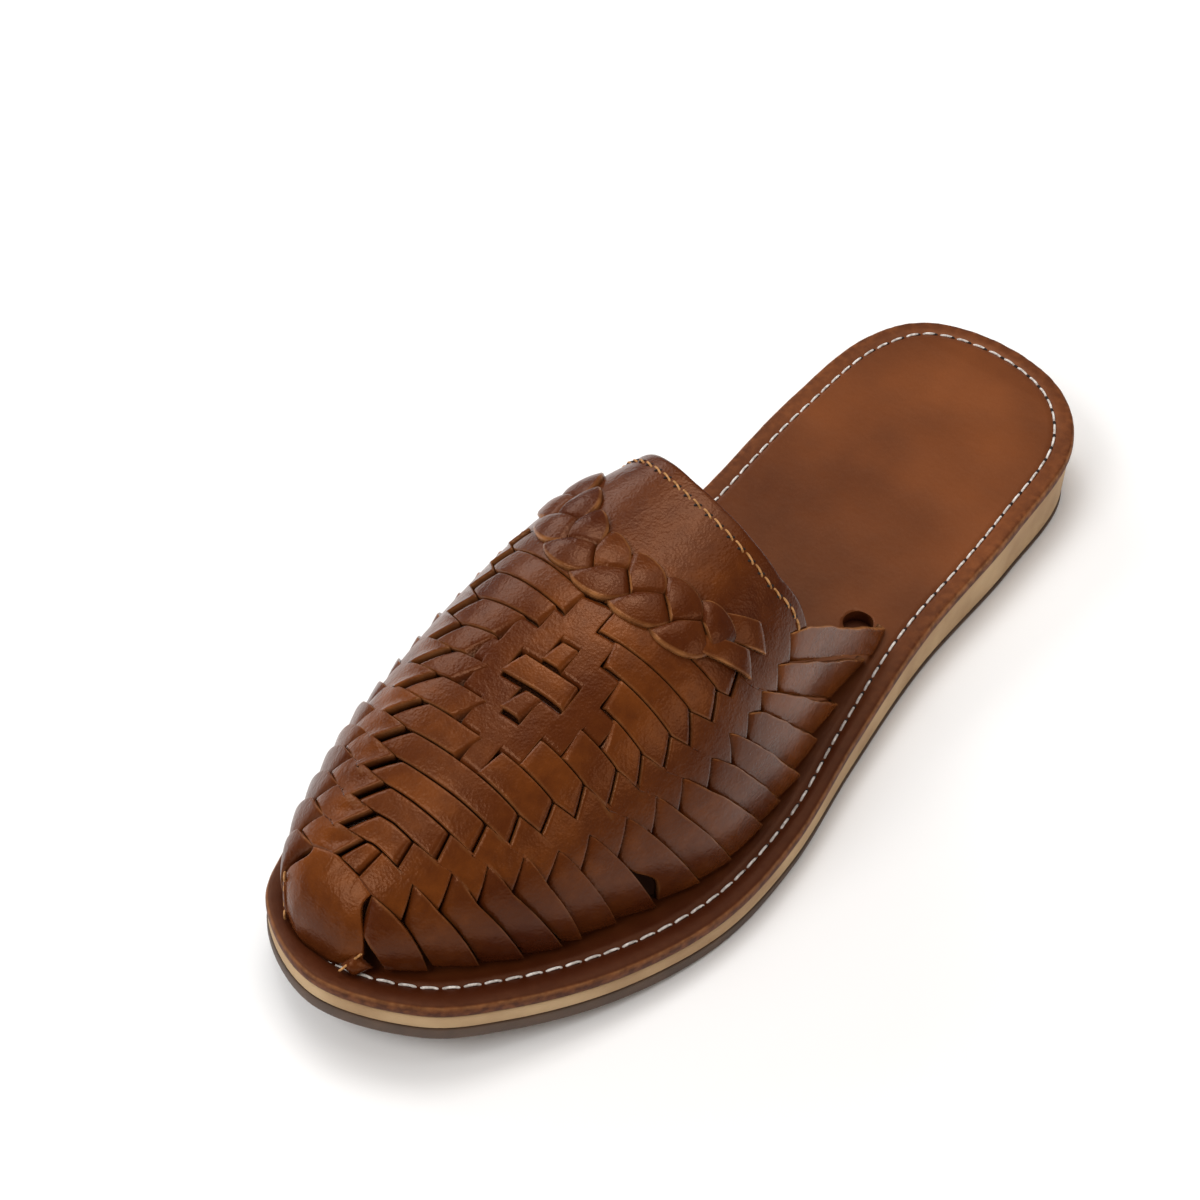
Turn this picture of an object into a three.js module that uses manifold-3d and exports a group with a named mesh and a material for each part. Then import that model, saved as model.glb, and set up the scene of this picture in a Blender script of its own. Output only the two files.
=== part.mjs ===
import * as THREE from "three";
import Module from "manifold-3d";
import { mergeVertices } from "three/addons/utils/BufferGeometryUtils.js";

// Woven leather mule, the left shoe: +X from heel to toe, +Y to the wearer's left (the outer side), +Z up.
// The origin lies on the floor under the middle of the sole's outline. Millimetres.

// Sole
const soleLength = 290;
const ballWidth = 101;
const outsoleThickness = 3.7;
const heelStack = 18;
const toeStack = 7.9;
const toeSpring = 11.6;
const insoleThickness = 4.1;
const midsoleInset = 0.7;
const insoleOverhang = 0.4;
const fitGap = 0.3;

// Upper
const upperLength = 129.5;
const toeMargin = 5.3;
const instepHeight = 67.5;
const wallThickness = 1.8;
const stripRelief = 1.1;
const warpWidth = 5.8;

// Lacing hole in the insole, behind the last strap of the outer side
const lacingHoleDiameter = 8;
const lacingHoleBehindToe = 171;
const lacingHoleFromMiddle = 24;

// Braid across the instep
const braidWidth = 15;
const braidThickness = 2.8;
const braidPitch = 10;

// Half widths of the sole at stations from heel to toe: along as a share of the length, the rest of the ball width
const soleRows = [
  { along: 0.02, medial: 0.238, lateral: 0.193 },
  { along: 0.08, medial: 0.345, lateral: 0.338 },
  { along: 0.2, medial: 0.373, lateral: 0.38 },
  { along: 0.36, medial: 0.357, lateral: 0.393 },
  { along: 0.5, medial: 0.378, lateral: 0.447 },
  { along: 0.62, medial: 0.455, lateral: 0.506 },
  { along: 0.72, medial: 0.486, lateral: 0.508 },
  { along: 0.82, medial: 0.453, lateral: 0.432 },
  { along: 0.91, medial: 0.372, lateral: 0.301 },
  { along: 0.965, medial: 0.283, lateral: 0.177 },
];
const heelPoint = { along: 0, across: -0.022 };
const toePoint = { along: 1, across: -0.058 };

// Where the sole leaves the floor, and where its wedge stops thinning, as shares of the length
const springStart = 0.68;
const wedge = { from: 0.05, to: 0.65, power: 1.3 };

// Sections of the upper: behind the toe as a share of the upper's length, widths of the ball width,
// height of the instep height, tuck as the share by which the inner side draws in at the insole
const upperRows = [
  { behind: 1.386, medial: 0.287, lateral: 0.307, ridge: -0.02, height: 0.999, fullness: 2.3, tuck: 0 },
  { behind: 1.116, medial: 0.307, lateral: 0.337, ridge: -0.03, height: 1.003, fullness: 2.4, tuck: 0.01 },
  { behind: 0.884, medial: 0.441, lateral: 0.391, ridge: -0.04, height: 0.933, fullness: 2.5, tuck: 0.075 },
  { behind: 0.653, medial: 0.451, lateral: 0.416, ridge: -0.05, height: 0.865, fullness: 2.5, tuck: 0.045 },
  { behind: 0.421, medial: 0.444, lateral: 0.337, ridge: -0.059, height: 0.681, fullness: 2.4, tuck: 0.045 },
  { behind: 0.228, medial: 0.399, lateral: 0.248, ridge: -0.069, height: 0.493, fullness: 2.4, tuck: 0.05 },
  { behind: 0.004, medial: 0.363, lateral: 0.119, ridge: -0.089, height: 0.382, fullness: 2.3, tuck: 0.04 },
];
const noseShare = 0.343;
const nosePower = 2.3;
const bulgeHeight = 14;

// The lines between neighbouring strips, from the toe tab to the collar's edge. Places are shares of the
// upper's length behind its tip: at the ridge, at the slit where a strap leaves the band, and at the insole.
// The slit's height and the weave's edge are shares of the way from the ridge down to the insole.
const stripLines = [
  { ridge: 0.093, slit: 0.08, foot: 0.066, lateral: 0.24, medial: 0.39, weaveLateral: 0.1, weaveMedial: 0.14 },
  { ridge: 0.143, slit: 0.134, foot: 0.127, lateral: 0.32, medial: 0.41, weaveLateral: 0.13, weaveMedial: 0.17 },
  { ridge: 0.189, slit: 0.192, foot: 0.181, lateral: 0.38, medial: 0.41, weaveLateral: 0.22, weaveMedial: 0.22 },
  { ridge: 0.236, slit: 0.241, foot: 0.236, lateral: 0.44, medial: 0.42, weaveLateral: 0.3, weaveMedial: 0.28 },
  { ridge: 0.282, slit: 0.297, foot: 0.29, lateral: 0.48, medial: 0.43, weaveLateral: 0.37, weaveMedial: 0.32 },
  { ridge: 0.332, slit: 0.348, foot: 0.351, lateral: 0.53, medial: 0.45, weaveLateral: 0.42, weaveMedial: 0.33 },
  { ridge: 0.382, slit: 0.406, foot: 0.425, lateral: 0.56, medial: 0.48, weaveLateral: 0.45, weaveMedial: 0.34 },
  { ridge: 0.436, slit: 0.476, foot: 0.51, lateral: 0.575, medial: 0.51, weaveLateral: 0.47, weaveMedial: 0.34 },
  { ridge: 0.49, slit: 0.537, foot: 0.602, lateral: 0.58, medial: 0.53, weaveLateral: 0.485, weaveMedial: 0.34 },
  { ridge: 0.541, slit: 0.593, foot: 0.687, lateral: 0.58, medial: 0.53, weaveLateral: 0.49, weaveMedial: 0.33 },
  { ridge: 0.591, slit: 0.659, foot: 0.772, lateral: 0.58, medial: 0.53, weaveLateral: 0.49, weaveMedial: 0.34 },
  { ridge: 0.633, slit: 0.715, foot: 0.857, lateral: 0.575, medial: 0.53, weaveLateral: 0.49, weaveMedial: 0.34 },
  { ridge: 0.683, slit: 0.775, foot: 0.934, lateral: 0.57, medial: 0.52, weaveLateral: 0.48, weaveMedial: 0.33 },
  { ridge: 0.805, slit: 0.827, foot: 1.023, lateral: 0.56, medial: 0.49, weaveLateral: 0.47, weaveMedial: 0.33 },
  { ridge: 0.868, slit: 0.886, foot: 1.119, lateral: 0.54, medial: 0.46, weaveLateral: 0.46, weaveMedial: 0.33 },
  { ridge: 0.931, slit: 0.943, foot: 1.239, lateral: 0.51, medial: 0.44, weaveLateral: 0.44, weaveMedial: 0.33 },
  { ridge: 0.992, slit: 1.008, foot: 1.324, lateral: 0.54, medial: 0.48, weaveLateral: 0.44, weaveMedial: 0.33 },
];
const wovenRows = 13;

// The weave by rows from the toe: "=" shows the cross strip, "|" the long strip of that column
const weaveChart = [
  "=========",
  "=========",
  "=========",
  "=========",
  "=========",
  "====|====",
  "===|||===",
  "==||=||==",
  "=||===||=",
  "==||=||==",
  "===|||===",
  "====|====",
  "=========",
];
const warpColumns = weaveChart[0].length;
const weaveShift = -1;
const grooveShare = 0.1;

// How deep each surface of the upper lies under the raised strips, as a share of the relief
const depth = { cross: 0, long: 0.4, band: 0.3, strap: 0.35, tuckedStrap: 0.9, tab: 0.1, collar: 0.15, groove: 1 };

// Centre line of the braid: behind the toe as a share of the upper's length, down the wall in strip widths
// from the ridge, with the share of its full width
const braidRows = [
  { behind: 0.79, across: -6.9, width: 0.55 },
  { behind: 0.755, across: -5.6, width: 1 },
  { behind: 0.742, across: -3.6, width: 1 },
  { behind: 0.742, across: -1.6, width: 1 },
  { behind: 0.747, across: 0.2, width: 1 },
  { behind: 0.785, across: 2.2, width: 1 },
  { behind: 0.85, across: 4.2, width: 0.9 },
  { behind: 0.91, across: 5.7, width: 0.5 },
];

const materials = {
  rubber: new THREE.MeshStandardMaterial({ color: 0x5b4a3e, roughness: 0.8 }),
  foam: new THREE.MeshStandardMaterial({ color: 0xc49a66, roughness: 0.75 }),
  insoleLeather: new THREE.MeshStandardMaterial({ color: 0x6b3517, roughness: 0.5 }),
  upperLeather: new THREE.MeshStandardMaterial({ color: 0x74401f, roughness: 0.35 }),
};

const wasm = await Module();
wasm.setup();

const lerp = THREE.MathUtils.lerp;
const clamp = THREE.MathUtils.clamp;

// A smooth value of one column of a table at a place between its rows
function valueAt(rows, key, column, at) {
  const last = rows.length - 1;
  const up = rows[last][key] > rows[0][key] ? 1 : -1;
  let i = 0;
  while (i < last - 1 && up * at > up * rows[i + 1][key]) i += 1;
  const slope = (k) => {
    const a = rows[Math.max(k - 1, 0)];
    const b = rows[Math.min(k + 1, last)];
    return (b[column] - a[column]) / (b[key] - a[key]);
  };
  const span = rows[i + 1][key] - rows[i][key];
  const t = (at - rows[i][key]) / span;
  const [t2, t3] = [t * t, t * t * t];
  const ends = (2 * t3 - 3 * t2 + 1) * rows[i][column] + (3 * t2 - 2 * t3) * rows[i + 1][column];
  return ends + span * ((t3 - 2 * t2 + t) * slope(i) + (t3 - t2) * slope(i + 1));
}

// Heights of the sole: x is measured from the heel
const stackAt = (x) => {
  const t = 1 - clamp((x / soleLength - wedge.from) / (wedge.to - wedge.from), 0, 1);
  return toeStack + (heelStack - toeStack) * t ** wedge.power;
};
const groundAt = (x) => toeSpring * clamp((x / soleLength - springStart) / (1 - springStart), 0, 1) ** 2;
const insoleBottomAt = (x) => groundAt(x) + stackAt(x);
const insoleTopAt = (x) => insoleBottomAt(x) + insoleThickness;

// The sole's outline as a closed smooth curve
const at2d = (along, across) => new THREE.Vector3(along * soleLength, across * ballWidth, 0);
const outlineCurve = new THREE.CatmullRomCurve3(
  [
    at2d(heelPoint.along, heelPoint.across),
    ...soleRows.map((row) => at2d(row.along, row.lateral)),
    at2d(toePoint.along, toePoint.across),
    ...soleRows.toReversed().map((row) => at2d(row.along, -row.medial)),
  ],
  true,
  "centripetal",
);
const outline = outlineCurve.getPoints(600).slice(0, -1);
const outlineBox = new THREE.Box3().setFromPoints(outline);

// The outline drawn in by an inset, as pairs of side points at stations from heel to toe
function outlineStations(inset) {
  const ring = outline.map((point, i) => {
    const next = outline[(i + 1) % outline.length];
    const before = outline[(i + outline.length - 1) % outline.length];
    const run = next.clone().sub(before).normalize();
    return new THREE.Vector2(point.x + run.y * inset, point.y - run.x * inset);
  });
  const heel = ring.reduce((a, b) => (b.x < a.x ? b : a));
  const toe = ring.reduce((a, b) => (b.x > a.x ? b : a));
  const stationCount = 44;
  const stations = [{ x: heel.x, lateral: heel.y, medial: heel.y }];
  for (let i = 1; i < stationCount; i += 1) {
    const x = lerp(heel.x, toe.x, (1 - Math.cos((Math.PI * i) / stationCount)) / 2);
    const crossings = [];
    ring.forEach((a, k) => {
      const b = ring[(k + 1) % ring.length];
      if ((a.x - x) * (b.x - x) <= 0 && a.x !== b.x) crossings.push(lerp(a.y, b.y, (x - a.x) / (b.x - a.x)));
    });
    stations.push({ x, lateral: Math.max(...crossings), medial: Math.min(...crossings) });
  }
  stations.push({ x: toe.x, lateral: toe.y, medial: toe.y });
  return stations;
}

function geometryOf(positions, triangles) {
  const geometry = new THREE.BufferGeometry();
  geometry.setAttribute("position", new THREE.Float32BufferAttribute(positions, 3));
  geometry.setIndex(triangles);
  return geometry;
}

// One layer of the sole between two heights, with its own inset at the top and the bottom
function soleLayer(top, bottom) {
  const positions = [];
  const rings = [top, bottom].map(({ inset, heightAt }) => {
    const stations = outlineStations(inset);
    const last = stations.length - 1;
    const put = (x, y) => positions.push(x, y, heightAt(x)) / 3 - 1;
    const lateral = stations.map((s) => put(s.x, s.lateral));
    const medial = stations.map((s, i) => (i === 0 || i === last ? lateral[i] : put(s.x, s.medial)));
    return { lateral, medial, last };
  });
  const triangles = [];
  const face = (a, b, c) => {
    if (a !== b && b !== c && c !== a) triangles.push(a, b, c);
  };
  const [upper, lower] = rings;
  for (let i = 0; i < upper.last; i += 1) {
    face(upper.medial[i], upper.medial[i + 1], upper.lateral[i + 1]);
    face(upper.medial[i], upper.lateral[i + 1], upper.lateral[i]);
    face(lower.medial[i], lower.lateral[i + 1], lower.medial[i + 1]);
    face(lower.medial[i], lower.lateral[i], lower.lateral[i + 1]);
    face(upper.lateral[i], upper.lateral[i + 1], lower.lateral[i + 1]);
    face(upper.lateral[i], lower.lateral[i + 1], lower.lateral[i]);
    face(upper.medial[i], lower.medial[i + 1], upper.medial[i + 1]);
    face(upper.medial[i], lower.medial[i], lower.medial[i + 1]);
  }
  return geometryOf(positions, triangles);
}

function toManifold(geometry) {
  const bare = geometry.clone();
  bare.deleteAttribute("normal");
  bare.deleteAttribute("uv");
  const merged = mergeVertices(bare, 1e-4);
  return new wasm.Manifold(
    new wasm.Mesh({
      numProp: 3,
      vertProperties: new Float32Array(merged.attributes.position.array),
      triVerts: new Uint32Array(merged.index.array),
    }),
  );
}

function fromManifold(solid) {
  const mesh = solid.getMesh();
  return geometryOf(Array.from(mesh.vertProperties), Array.from(mesh.triVerts));
}

function outsoleShape() {
  return soleLayer(
    { inset: 0, heightAt: (x) => groundAt(x) + outsoleThickness },
    { inset: 0, heightAt: groundAt },
  );
}

function midsoleShape() {
  return soleLayer(
    { inset: midsoleInset, heightAt: (x) => insoleBottomAt(x) - fitGap },
    { inset: midsoleInset / 2, heightAt: (x) => groundAt(x) + outsoleThickness + fitGap },
  );
}

// The insole board, with the round lacing hole cut through it
function insoleShape() {
  const board = soleLayer(
    { inset: midsoleInset, heightAt: insoleTopAt },
    { inset: midsoleInset - insoleOverhang, heightAt: insoleBottomAt },
  );
  const holeX = soleLength - toeMargin - lacingHoleBehindToe;
  const radius = lacingHoleDiameter / 2;
  const drill = new THREE.CylinderGeometry(radius, radius, insoleThickness * 3, 24);
  drill.rotateX(Math.PI / 2);
  drill.translate(holeX, lacingHoleFromMiddle, insoleBottomAt(holeX) + insoleThickness / 2);
  return fromManifold(toManifold(board).subtract(toManifold(drill)));
}

// The last: a point of the upper at x, at an angle over its section, drawn inwards by an inset.
// The angle is 0 on the insole's outer side, a quarter turn on the ridge and a half turn on the inner side.
const tipX = soleLength - toeMargin;
const noseX = tipX - noseShare * upperLength;
const placeOf = (behind) => tipX - behind * upperLength;
const behindOf = (x) => (tipX - x) / upperLength;

function lastPoint(x, angle, inset = 0) {
  const row = (column) => valueAt(upperRows, "behind", column, behindOf(x));
  const nose = clamp((x - noseX) / (tipX - noseX), 0, 1);
  const closing = Math.max(1 - nose ** nosePower, 0) ** (1 / nosePower);
  const ridge = row("ridge") * ballWidth;
  const [cos, sin] = [Math.cos(angle), Math.sin(angle)];
  const side = Math.sign(cos);
  const halfWidth = cos > 0 ? row("lateral") * ballWidth - ridge : ridge + row("medial") * ballWidth;
  const power = 2 / row("fullness");
  const up = (row("height") * instepHeight - inset) * closing * Math.abs(sin) ** power;
  const tucked = cos < 0 ? row("tuck") * ballWidth * closing * (1 - clamp(up / bulgeHeight, 0, 1)) ** 2 : 0;
  const out = (halfWidth - inset) * closing * Math.abs(cos) ** power - tucked;
  const along = x > noseX ? noseX + ((x - noseX) * (tipX - inset - noseX)) / (tipX - noseX) : x;
  return new THREE.Vector3(along, ridge + side * out, insoleTopAt(along) + fitGap + up);
}

// Length of the section from the ridge to each angle, less than zero on the outer side
function sectionArcs(x) {
  const steps = 72;
  const points = [];
  for (let i = 0; i <= steps; i += 1) points.push(lastPoint(x, (Math.PI * i) / steps));
  const arcs = [0];
  for (let i = 1; i <= steps; i += 1) arcs.push(arcs[i - 1] + points[i].distanceTo(points[i - 1]));
  const middle = arcs[steps / 2];
  return arcs.map((arc) => arc - middle);
}

function angleAt(arcs, arc) {
  const last = arcs.length - 1;
  let i = 0;
  while (i < last - 1 && arc > arcs[i + 1]) i += 1;
  const t = clamp((arc - arcs[i]) / (arcs[i + 1] - arcs[i]), 0, 1);
  return (Math.PI * (i + t)) / last;
}

// The columns of the upper's mesh, from the insole on the outer side over the ridge to the inner side
function upperColumns() {
  const strapShares = [1, 0.7, 0.35, 0.06];
  const sideColumns = (side) => [
    ...strapShares.map((down) => ({ part: "strap", side, down })),
    { part: "band", side, down: 0, edge: "slit" },
    { part: "band", side, down: 0, edge: "weave" },
  ];
  const warps = [{ part: "weave", column: 0, at: "edge", side: -1 }];
  for (let i = 1; i < warpColumns; i += 1) {
    warps.push({ part: "weave", column: i - 1, at: i, nudge: -1 });
    warps.push({ part: "weave", column: i, at: i, nudge: 1 });
  }
  warps.push({ part: "weave", column: warpColumns - 1, at: "edge", side: 1 });
  return [...sideColumns(-1), ...warps, ...sideColumns(1).toReversed()];
}

// A value of the strip lines at a line number that may lie between two of them
function lineValue(line, column) {
  const i = clamp(Math.floor(line), 0, stripLines.length - 2);
  return lerp(stripLines[i][column], stripLines[i + 1][column], line - i);
}

// Place of a mesh point on the last: its x and its angle
function stripPoint(line, column) {
  const slitX = placeOf(lineValue(line, "slit"));
  const ridgeX = placeOf(lineValue(line, "ridge"));
  if (column.part === "strap") {
    const x = lerp(slitX, placeOf(lineValue(line, "foot")), column.down);
    const arcs = sectionArcs(x);
    const slit = lineValue(line, column.side < 0 ? "lateral" : "medial");
    const share = lerp(slit, 1, column.down);
    return { x, angle: angleAt(arcs, share * (column.side < 0 ? arcs[0] : arcs.at(-1))) };
  }
  const arcs = sectionArcs(ridgeX);
  const ends = [
    { slit: lineValue(line, "lateral") * arcs[0], weave: lineValue(line, "weaveLateral") * arcs[0] },
    { slit: lineValue(line, "medial") * arcs.at(-1), weave: lineValue(line, "weaveMedial") * arcs.at(-1) },
  ];
  let arc;
  if (column.part === "band") {
    arc = ends[column.side < 0 ? 0 : 1][column.edge];
  } else if (column.at === "edge") {
    arc = ends[column.side < 0 ? 0 : 1].weave + column.side * -0.4;
  } else {
    // Long strips that would lie past the weave's edge crowd together just inside it
    const crowd = 0.35;
    const wanted = (column.at - warpColumns / 2) * warpWidth + weaveShift + column.nudge * 0.4;
    const rank = 2 * column.at + (column.nudge > 0 ? 1 : 0);
    const low = ends[0].weave + 0.4 + crowd * rank;
    const high = ends[1].weave - 0.4 - crowd * (2 * warpColumns - rank);
    arc = clamp(wanted, low, high);
  }
  const reach = arc < 0 ? arc / ends[0].slit : arc / ends[1].slit;
  const x = lerp(ridgeX, slitX, reach ** 2);
  const here = sectionArcs(x);
  const scale = arc < 0 ? here[0] / arcs[0] : here.at(-1) / arcs.at(-1);
  return { x, angle: angleAt(here, arc * scale) };
}

// How far under the raised strips the surface lies at a line and column
function depthAt(line, column) {
  const row = Math.floor(line + 1e-6);
  const onLine = line - row < 1e-6;
  if (column.part === "band") return depth.band;
  if (column.part === "strap") {
    if (column.down < 0.1) return depth.tuckedStrap;
    return onLine && line < stripLines.length - 1 ? depth.groove : depth.strap;
  }
  if (line > wovenRows - 1) return depth.collar;
  const shows = (r) => weaveChart[clamp(r, 0, wovenRows - 1)][column.column];
  if (column.at === "edge") return depth.groove;
  if (onLine) return row > 0 && shows(row) === "|" && shows(row - 1) === "|" ? depth.long : depth.groove;
  return shows(row) === "|" ? depth.long : depth.cross;
}

// A closed wall from a grid of outer and inner points, leaving out the cells that are gaps
function wallOf(grid, isGap) {
  const positions = [];
  const put = (point) => positions.push(point.x, point.y, point.z) / 3 - 1;
  const ids = grid.map((line) => line.map((pair) => ({ outer: put(pair.outer), inner: put(pair.inner) })));
  const [rows, columns] = [grid.length - 1, grid[0].length - 1];
  const solid = (i, j) => i >= 0 && j >= 0 && i < rows && j < columns && !isGap(i, j);
  const triangles = [];
  const quad = (a, b, c, d) => triangles.push(a, b, c, a, c, d);
  for (let i = 0; i < rows; i += 1) {
    for (let j = 0; j < columns; j += 1) {
      if (!solid(i, j)) continue;
      const corners = [ids[i][j], ids[i + 1][j], ids[i + 1][j + 1], ids[i][j + 1]];
      const [a, b, c, d] = corners;
      quad(a.outer, b.outer, c.outer, d.outer);
      quad(d.inner, c.inner, b.inner, a.inner);
      const beyond = [solid(i, j - 1), solid(i + 1, j), solid(i, j + 1), solid(i - 1, j)];
      corners.forEach((from, k) => {
        const to = corners[(k + 1) % 4];
        if (!beyond[k]) quad(to.outer, from.outer, from.inner, to.inner);
      });
    }
  }
  return geometryOf(positions, triangles);
}

// The woven upper: toe tab, weave, band, perimeter straps with open gaps between them, and collar
function upperShape() {
  const columns = upperColumns();
  const pairAt = (x, angle, deep) => ({
    outer: lastPoint(x, angle, deep * stripRelief),
    inner: lastPoint(x, angle, stripRelief + wallThickness),
  });
  const first = columns.map((column) => stripPoint(0, column));

  // The toe tab runs from the first line forwards and down to the insole around the toe
  const tabShares = [1, 0.88, 0.7, 0.4, 0.06];
  const footX = Math.max(first[0].x, first.at(-1).x) + 1.5;
  const tab = tabShares.map((forward) =>
    first.map(({ x, angle }) => {
      const lateral = angle < Math.PI / 2;
      const fromMiddle = Math.abs(angle - Math.PI / 2) / (Math.PI / 2);
      const frontX = lerp(footX, tipX, Math.cos((Math.PI / 2) * fromMiddle) ** 0.8);
      const frontAngle = lateral ? 0 : Math.PI;
      return pairAt(lerp(x, frontX, forward), lerp(angle, frontAngle, forward ** 3), depth.tab);
    }),
  );

  const lines = [];
  for (let line = 0; line < stripLines.length - 1; line += 1) {
    lines.push(line, line + grooveShare, line + 1 - grooveShare);
  }
  lines.push(stripLines.length - 1);
  const strips = lines.map((line) =>
    columns.map((column) => {
      const { x, angle } = stripPoint(line, column);
      return pairAt(x, angle, depthAt(line, column));
    }),
  );

  const fromEdge = (j) => Math.min(j, columns.length - 2 - j);
  const isGap = (i, j) => {
    const step = i - tab.length;
    const besideLine = step >= 0 && step % 3 !== 1 && step < lines.length - 2;
    return besideLine && fromEdge(j) < 2;
  };
  return wallOf([...tab, ...strips], isGap);
}

// The braid: a flat plait whose crossing strands stand up as slanted scales on both sides of its middle
function braidShape() {
  const curve = new THREE.CatmullRomCurve3(
    braidRows.map((row) => new THREE.Vector3(placeOf(row.behind), row.across * warpWidth, 0)),
    false,
    "centripetal",
  );
  const pitches = Math.round(curve.getLength() / braidPitch);
  const phases = [0, 0.12, 0.38, 0.5, 0.62, 0.88];
  const shares = [];
  for (let i = 0; i < pitches; i += 1) phases.forEach((phase) => shares.push((i + phase) / pitches));
  shares.push(1);
  const sides = [-1, -0.8, -0.45, 0, 0.45, 0.8, 1];
  const profile = [0.3, 0.8, 1, 0.6, 1, 0.8, 0.3];
  const slant = 0.45;
  const grid = shares.map((share) => {
    const phase = (share * pitches) % 1;
    return sides.map((side, j) => {
      const ends = Math.min(share, 1 - share) * pitches;
      const leaned = clamp(share + (slant * Math.abs(side) * Math.min(ends, 1)) / pitches, 0, 1);
      const middle = curve.getPointAt(leaned);
      const run = curve.getTangentAt(leaned);
      const row = leaned * (braidRows.length - 1);
      const k = Math.min(Math.floor(row), braidRows.length - 2);
      const half = (lerp(braidRows[k].width, braidRows[k + 1].width, row - k) * braidWidth) / 2;
      const x = middle.x + run.y * side * half;
      const arc = middle.y - run.x * side * half;
      const angle = angleAt(sectionArcs(x), arc);
      const groove = (side < 0 && phase === 0) || (side > 0 && Math.abs(phase - 0.5) < 1e-6);
      const thick = braidThickness * profile[j] * (groove ? 0.55 : 1);
      return { outer: lastPoint(x, angle, -fitGap - thick), inner: lastPoint(x, angle, -fitGap) };
    });
  });
  return wallOf(grid, () => false);
}

function piece(name, geometry, material) {
  const mesh = new THREE.Mesh(geometry, material);
  mesh.name = name;
  return mesh;
}

const sandal = new THREE.Group();
sandal.add(
  piece("outsole", outsoleShape(), materials.rubber),
  piece("midsole", midsoleShape(), materials.foam),
  piece("insole", insoleShape(), materials.insoleLeather),
  piece("upper", upperShape(), materials.upperLeather),
  piece("braid", braidShape(), materials.upperLeather),
);
const middle = outlineBox.getCenter(new THREE.Vector3());
sandal.position.set(-middle.x, -middle.y, 0);

export default sandal;
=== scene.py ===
import math
import random

import bpy
import numpy as np
from mathutils import Matrix, Vector


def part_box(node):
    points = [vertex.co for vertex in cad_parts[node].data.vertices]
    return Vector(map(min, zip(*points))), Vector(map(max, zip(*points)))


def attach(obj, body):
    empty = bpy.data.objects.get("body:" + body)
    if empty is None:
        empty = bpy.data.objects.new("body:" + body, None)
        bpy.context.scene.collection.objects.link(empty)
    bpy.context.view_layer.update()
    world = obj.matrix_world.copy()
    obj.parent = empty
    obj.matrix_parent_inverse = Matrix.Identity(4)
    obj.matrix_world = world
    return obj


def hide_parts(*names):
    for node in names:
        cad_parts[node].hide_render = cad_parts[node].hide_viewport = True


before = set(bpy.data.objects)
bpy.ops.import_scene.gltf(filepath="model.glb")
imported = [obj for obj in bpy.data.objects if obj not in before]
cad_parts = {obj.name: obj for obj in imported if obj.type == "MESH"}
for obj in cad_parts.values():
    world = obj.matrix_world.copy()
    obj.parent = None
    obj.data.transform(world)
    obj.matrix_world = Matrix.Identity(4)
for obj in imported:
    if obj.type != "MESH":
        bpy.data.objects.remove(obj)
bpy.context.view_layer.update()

# Camera, floor and studio light.
# The camera stands where the photograph was taken from, high in front of the toe on the outer side.
# Soft boxes light the shoe from above, from the toe and from both sides, over a plain near-white floor.

MM = 0.001
PHOTO_WIDTH = 1200
PHOTO_FOCAL = 2560.85
SENSOR = 36.0
camera_place = Vector((384.07, 228.1, 491.73)) * MM
camera_right = Vector((-0.6119, 0.7892, 0.0530))
camera_down = Vector((0.5470, 0.4706, -0.6924))
camera_ahead = Vector((-0.5714, -0.3947, -0.7196))


def add_object(name, data):
    made = bpy.data.objects.new(name, data)
    bpy.context.scene.collection.objects.link(made)
    return made


camera_data = bpy.data.cameras.new("camera")
camera_data.sensor_width = SENSOR
camera_data.lens = PHOTO_FOCAL / PHOTO_WIDTH * SENSOR
camera = add_object("camera", camera_data)
turn = Matrix((camera_right, -camera_down, -camera_ahead)).transposed()
camera.matrix_world = Matrix.Translation(camera_place) @ turn.to_4x4()
bpy.context.scene.camera = camera
bpy.context.scene.view_settings.view_transform = "Standard"


def hex_colour(text):
    channels = [int(text[i : i + 2], 16) / 255 for i in (1, 3, 5)]
    linear = [c / 12.92 if c <= 0.04045 else ((c + 0.055) / 1.055) ** 2.4 for c in channels]
    return (*linear, 1.0)


def add_node(tree, kind, links=(), **settings):
    """A node with its settings and links. in_NAME sets an input; stops are a ramp's places and colours."""
    node = tree.nodes.new(kind)
    for key, value in settings.items():
        if key == "stops":
            first, *inner, last = value
            for element, (position, colour) in zip(node.color_ramp.elements, (first, last)):
                element.position, element.color = position, hex_colour(colour)
            for position, colour in inner:
                node.color_ramp.elements.new(position).color = hex_colour(colour)
        elif key.startswith("in_"):
            name = key[3:]
            socket = node.inputs[int(name) if name.isdigit() else name.replace("_", " ")]
            socket.default_value = value
        else:
            setattr(node, key, value)
    for source, target in links:
        tree.links.new(source, node.inputs[target])
    return node


def new_material(name, constants):
    material = bpy.data.materials.new(name)
    material.use_nodes = True
    tree = material.node_tree
    tree.nodes.clear()
    output = tree.nodes.new("ShaderNodeOutputMaterial")
    surface = tree.nodes.new("ShaderNodeBsdfPrincipled")
    tree.links.new(surface.outputs["BSDF"], output.inputs["Surface"])
    for socket, value in constants.items():
        surface.inputs[socket].default_value = value
    return material, tree, surface


floor_size = 6.0
paper_look = {"Base Color": hex_colour("#f6f5f4"), "Roughness": 0.9, "Specular IOR Level": 0.1}
floor_material = new_material("matt_white_studio_paper", paper_look)[0]
floor_mesh = bpy.data.meshes.new("studio_floor")
corner = floor_size / 2
floor_mesh.from_pydata(
    [(x * corner, y * corner, 0) for x, y in ((-1, -1), (1, -1), (1, 1), (-1, 1))], [], [(0, 1, 2, 3)]
)
floor_mesh.materials.append(floor_material)
floor = add_object("studio_floor", floor_mesh)

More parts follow.
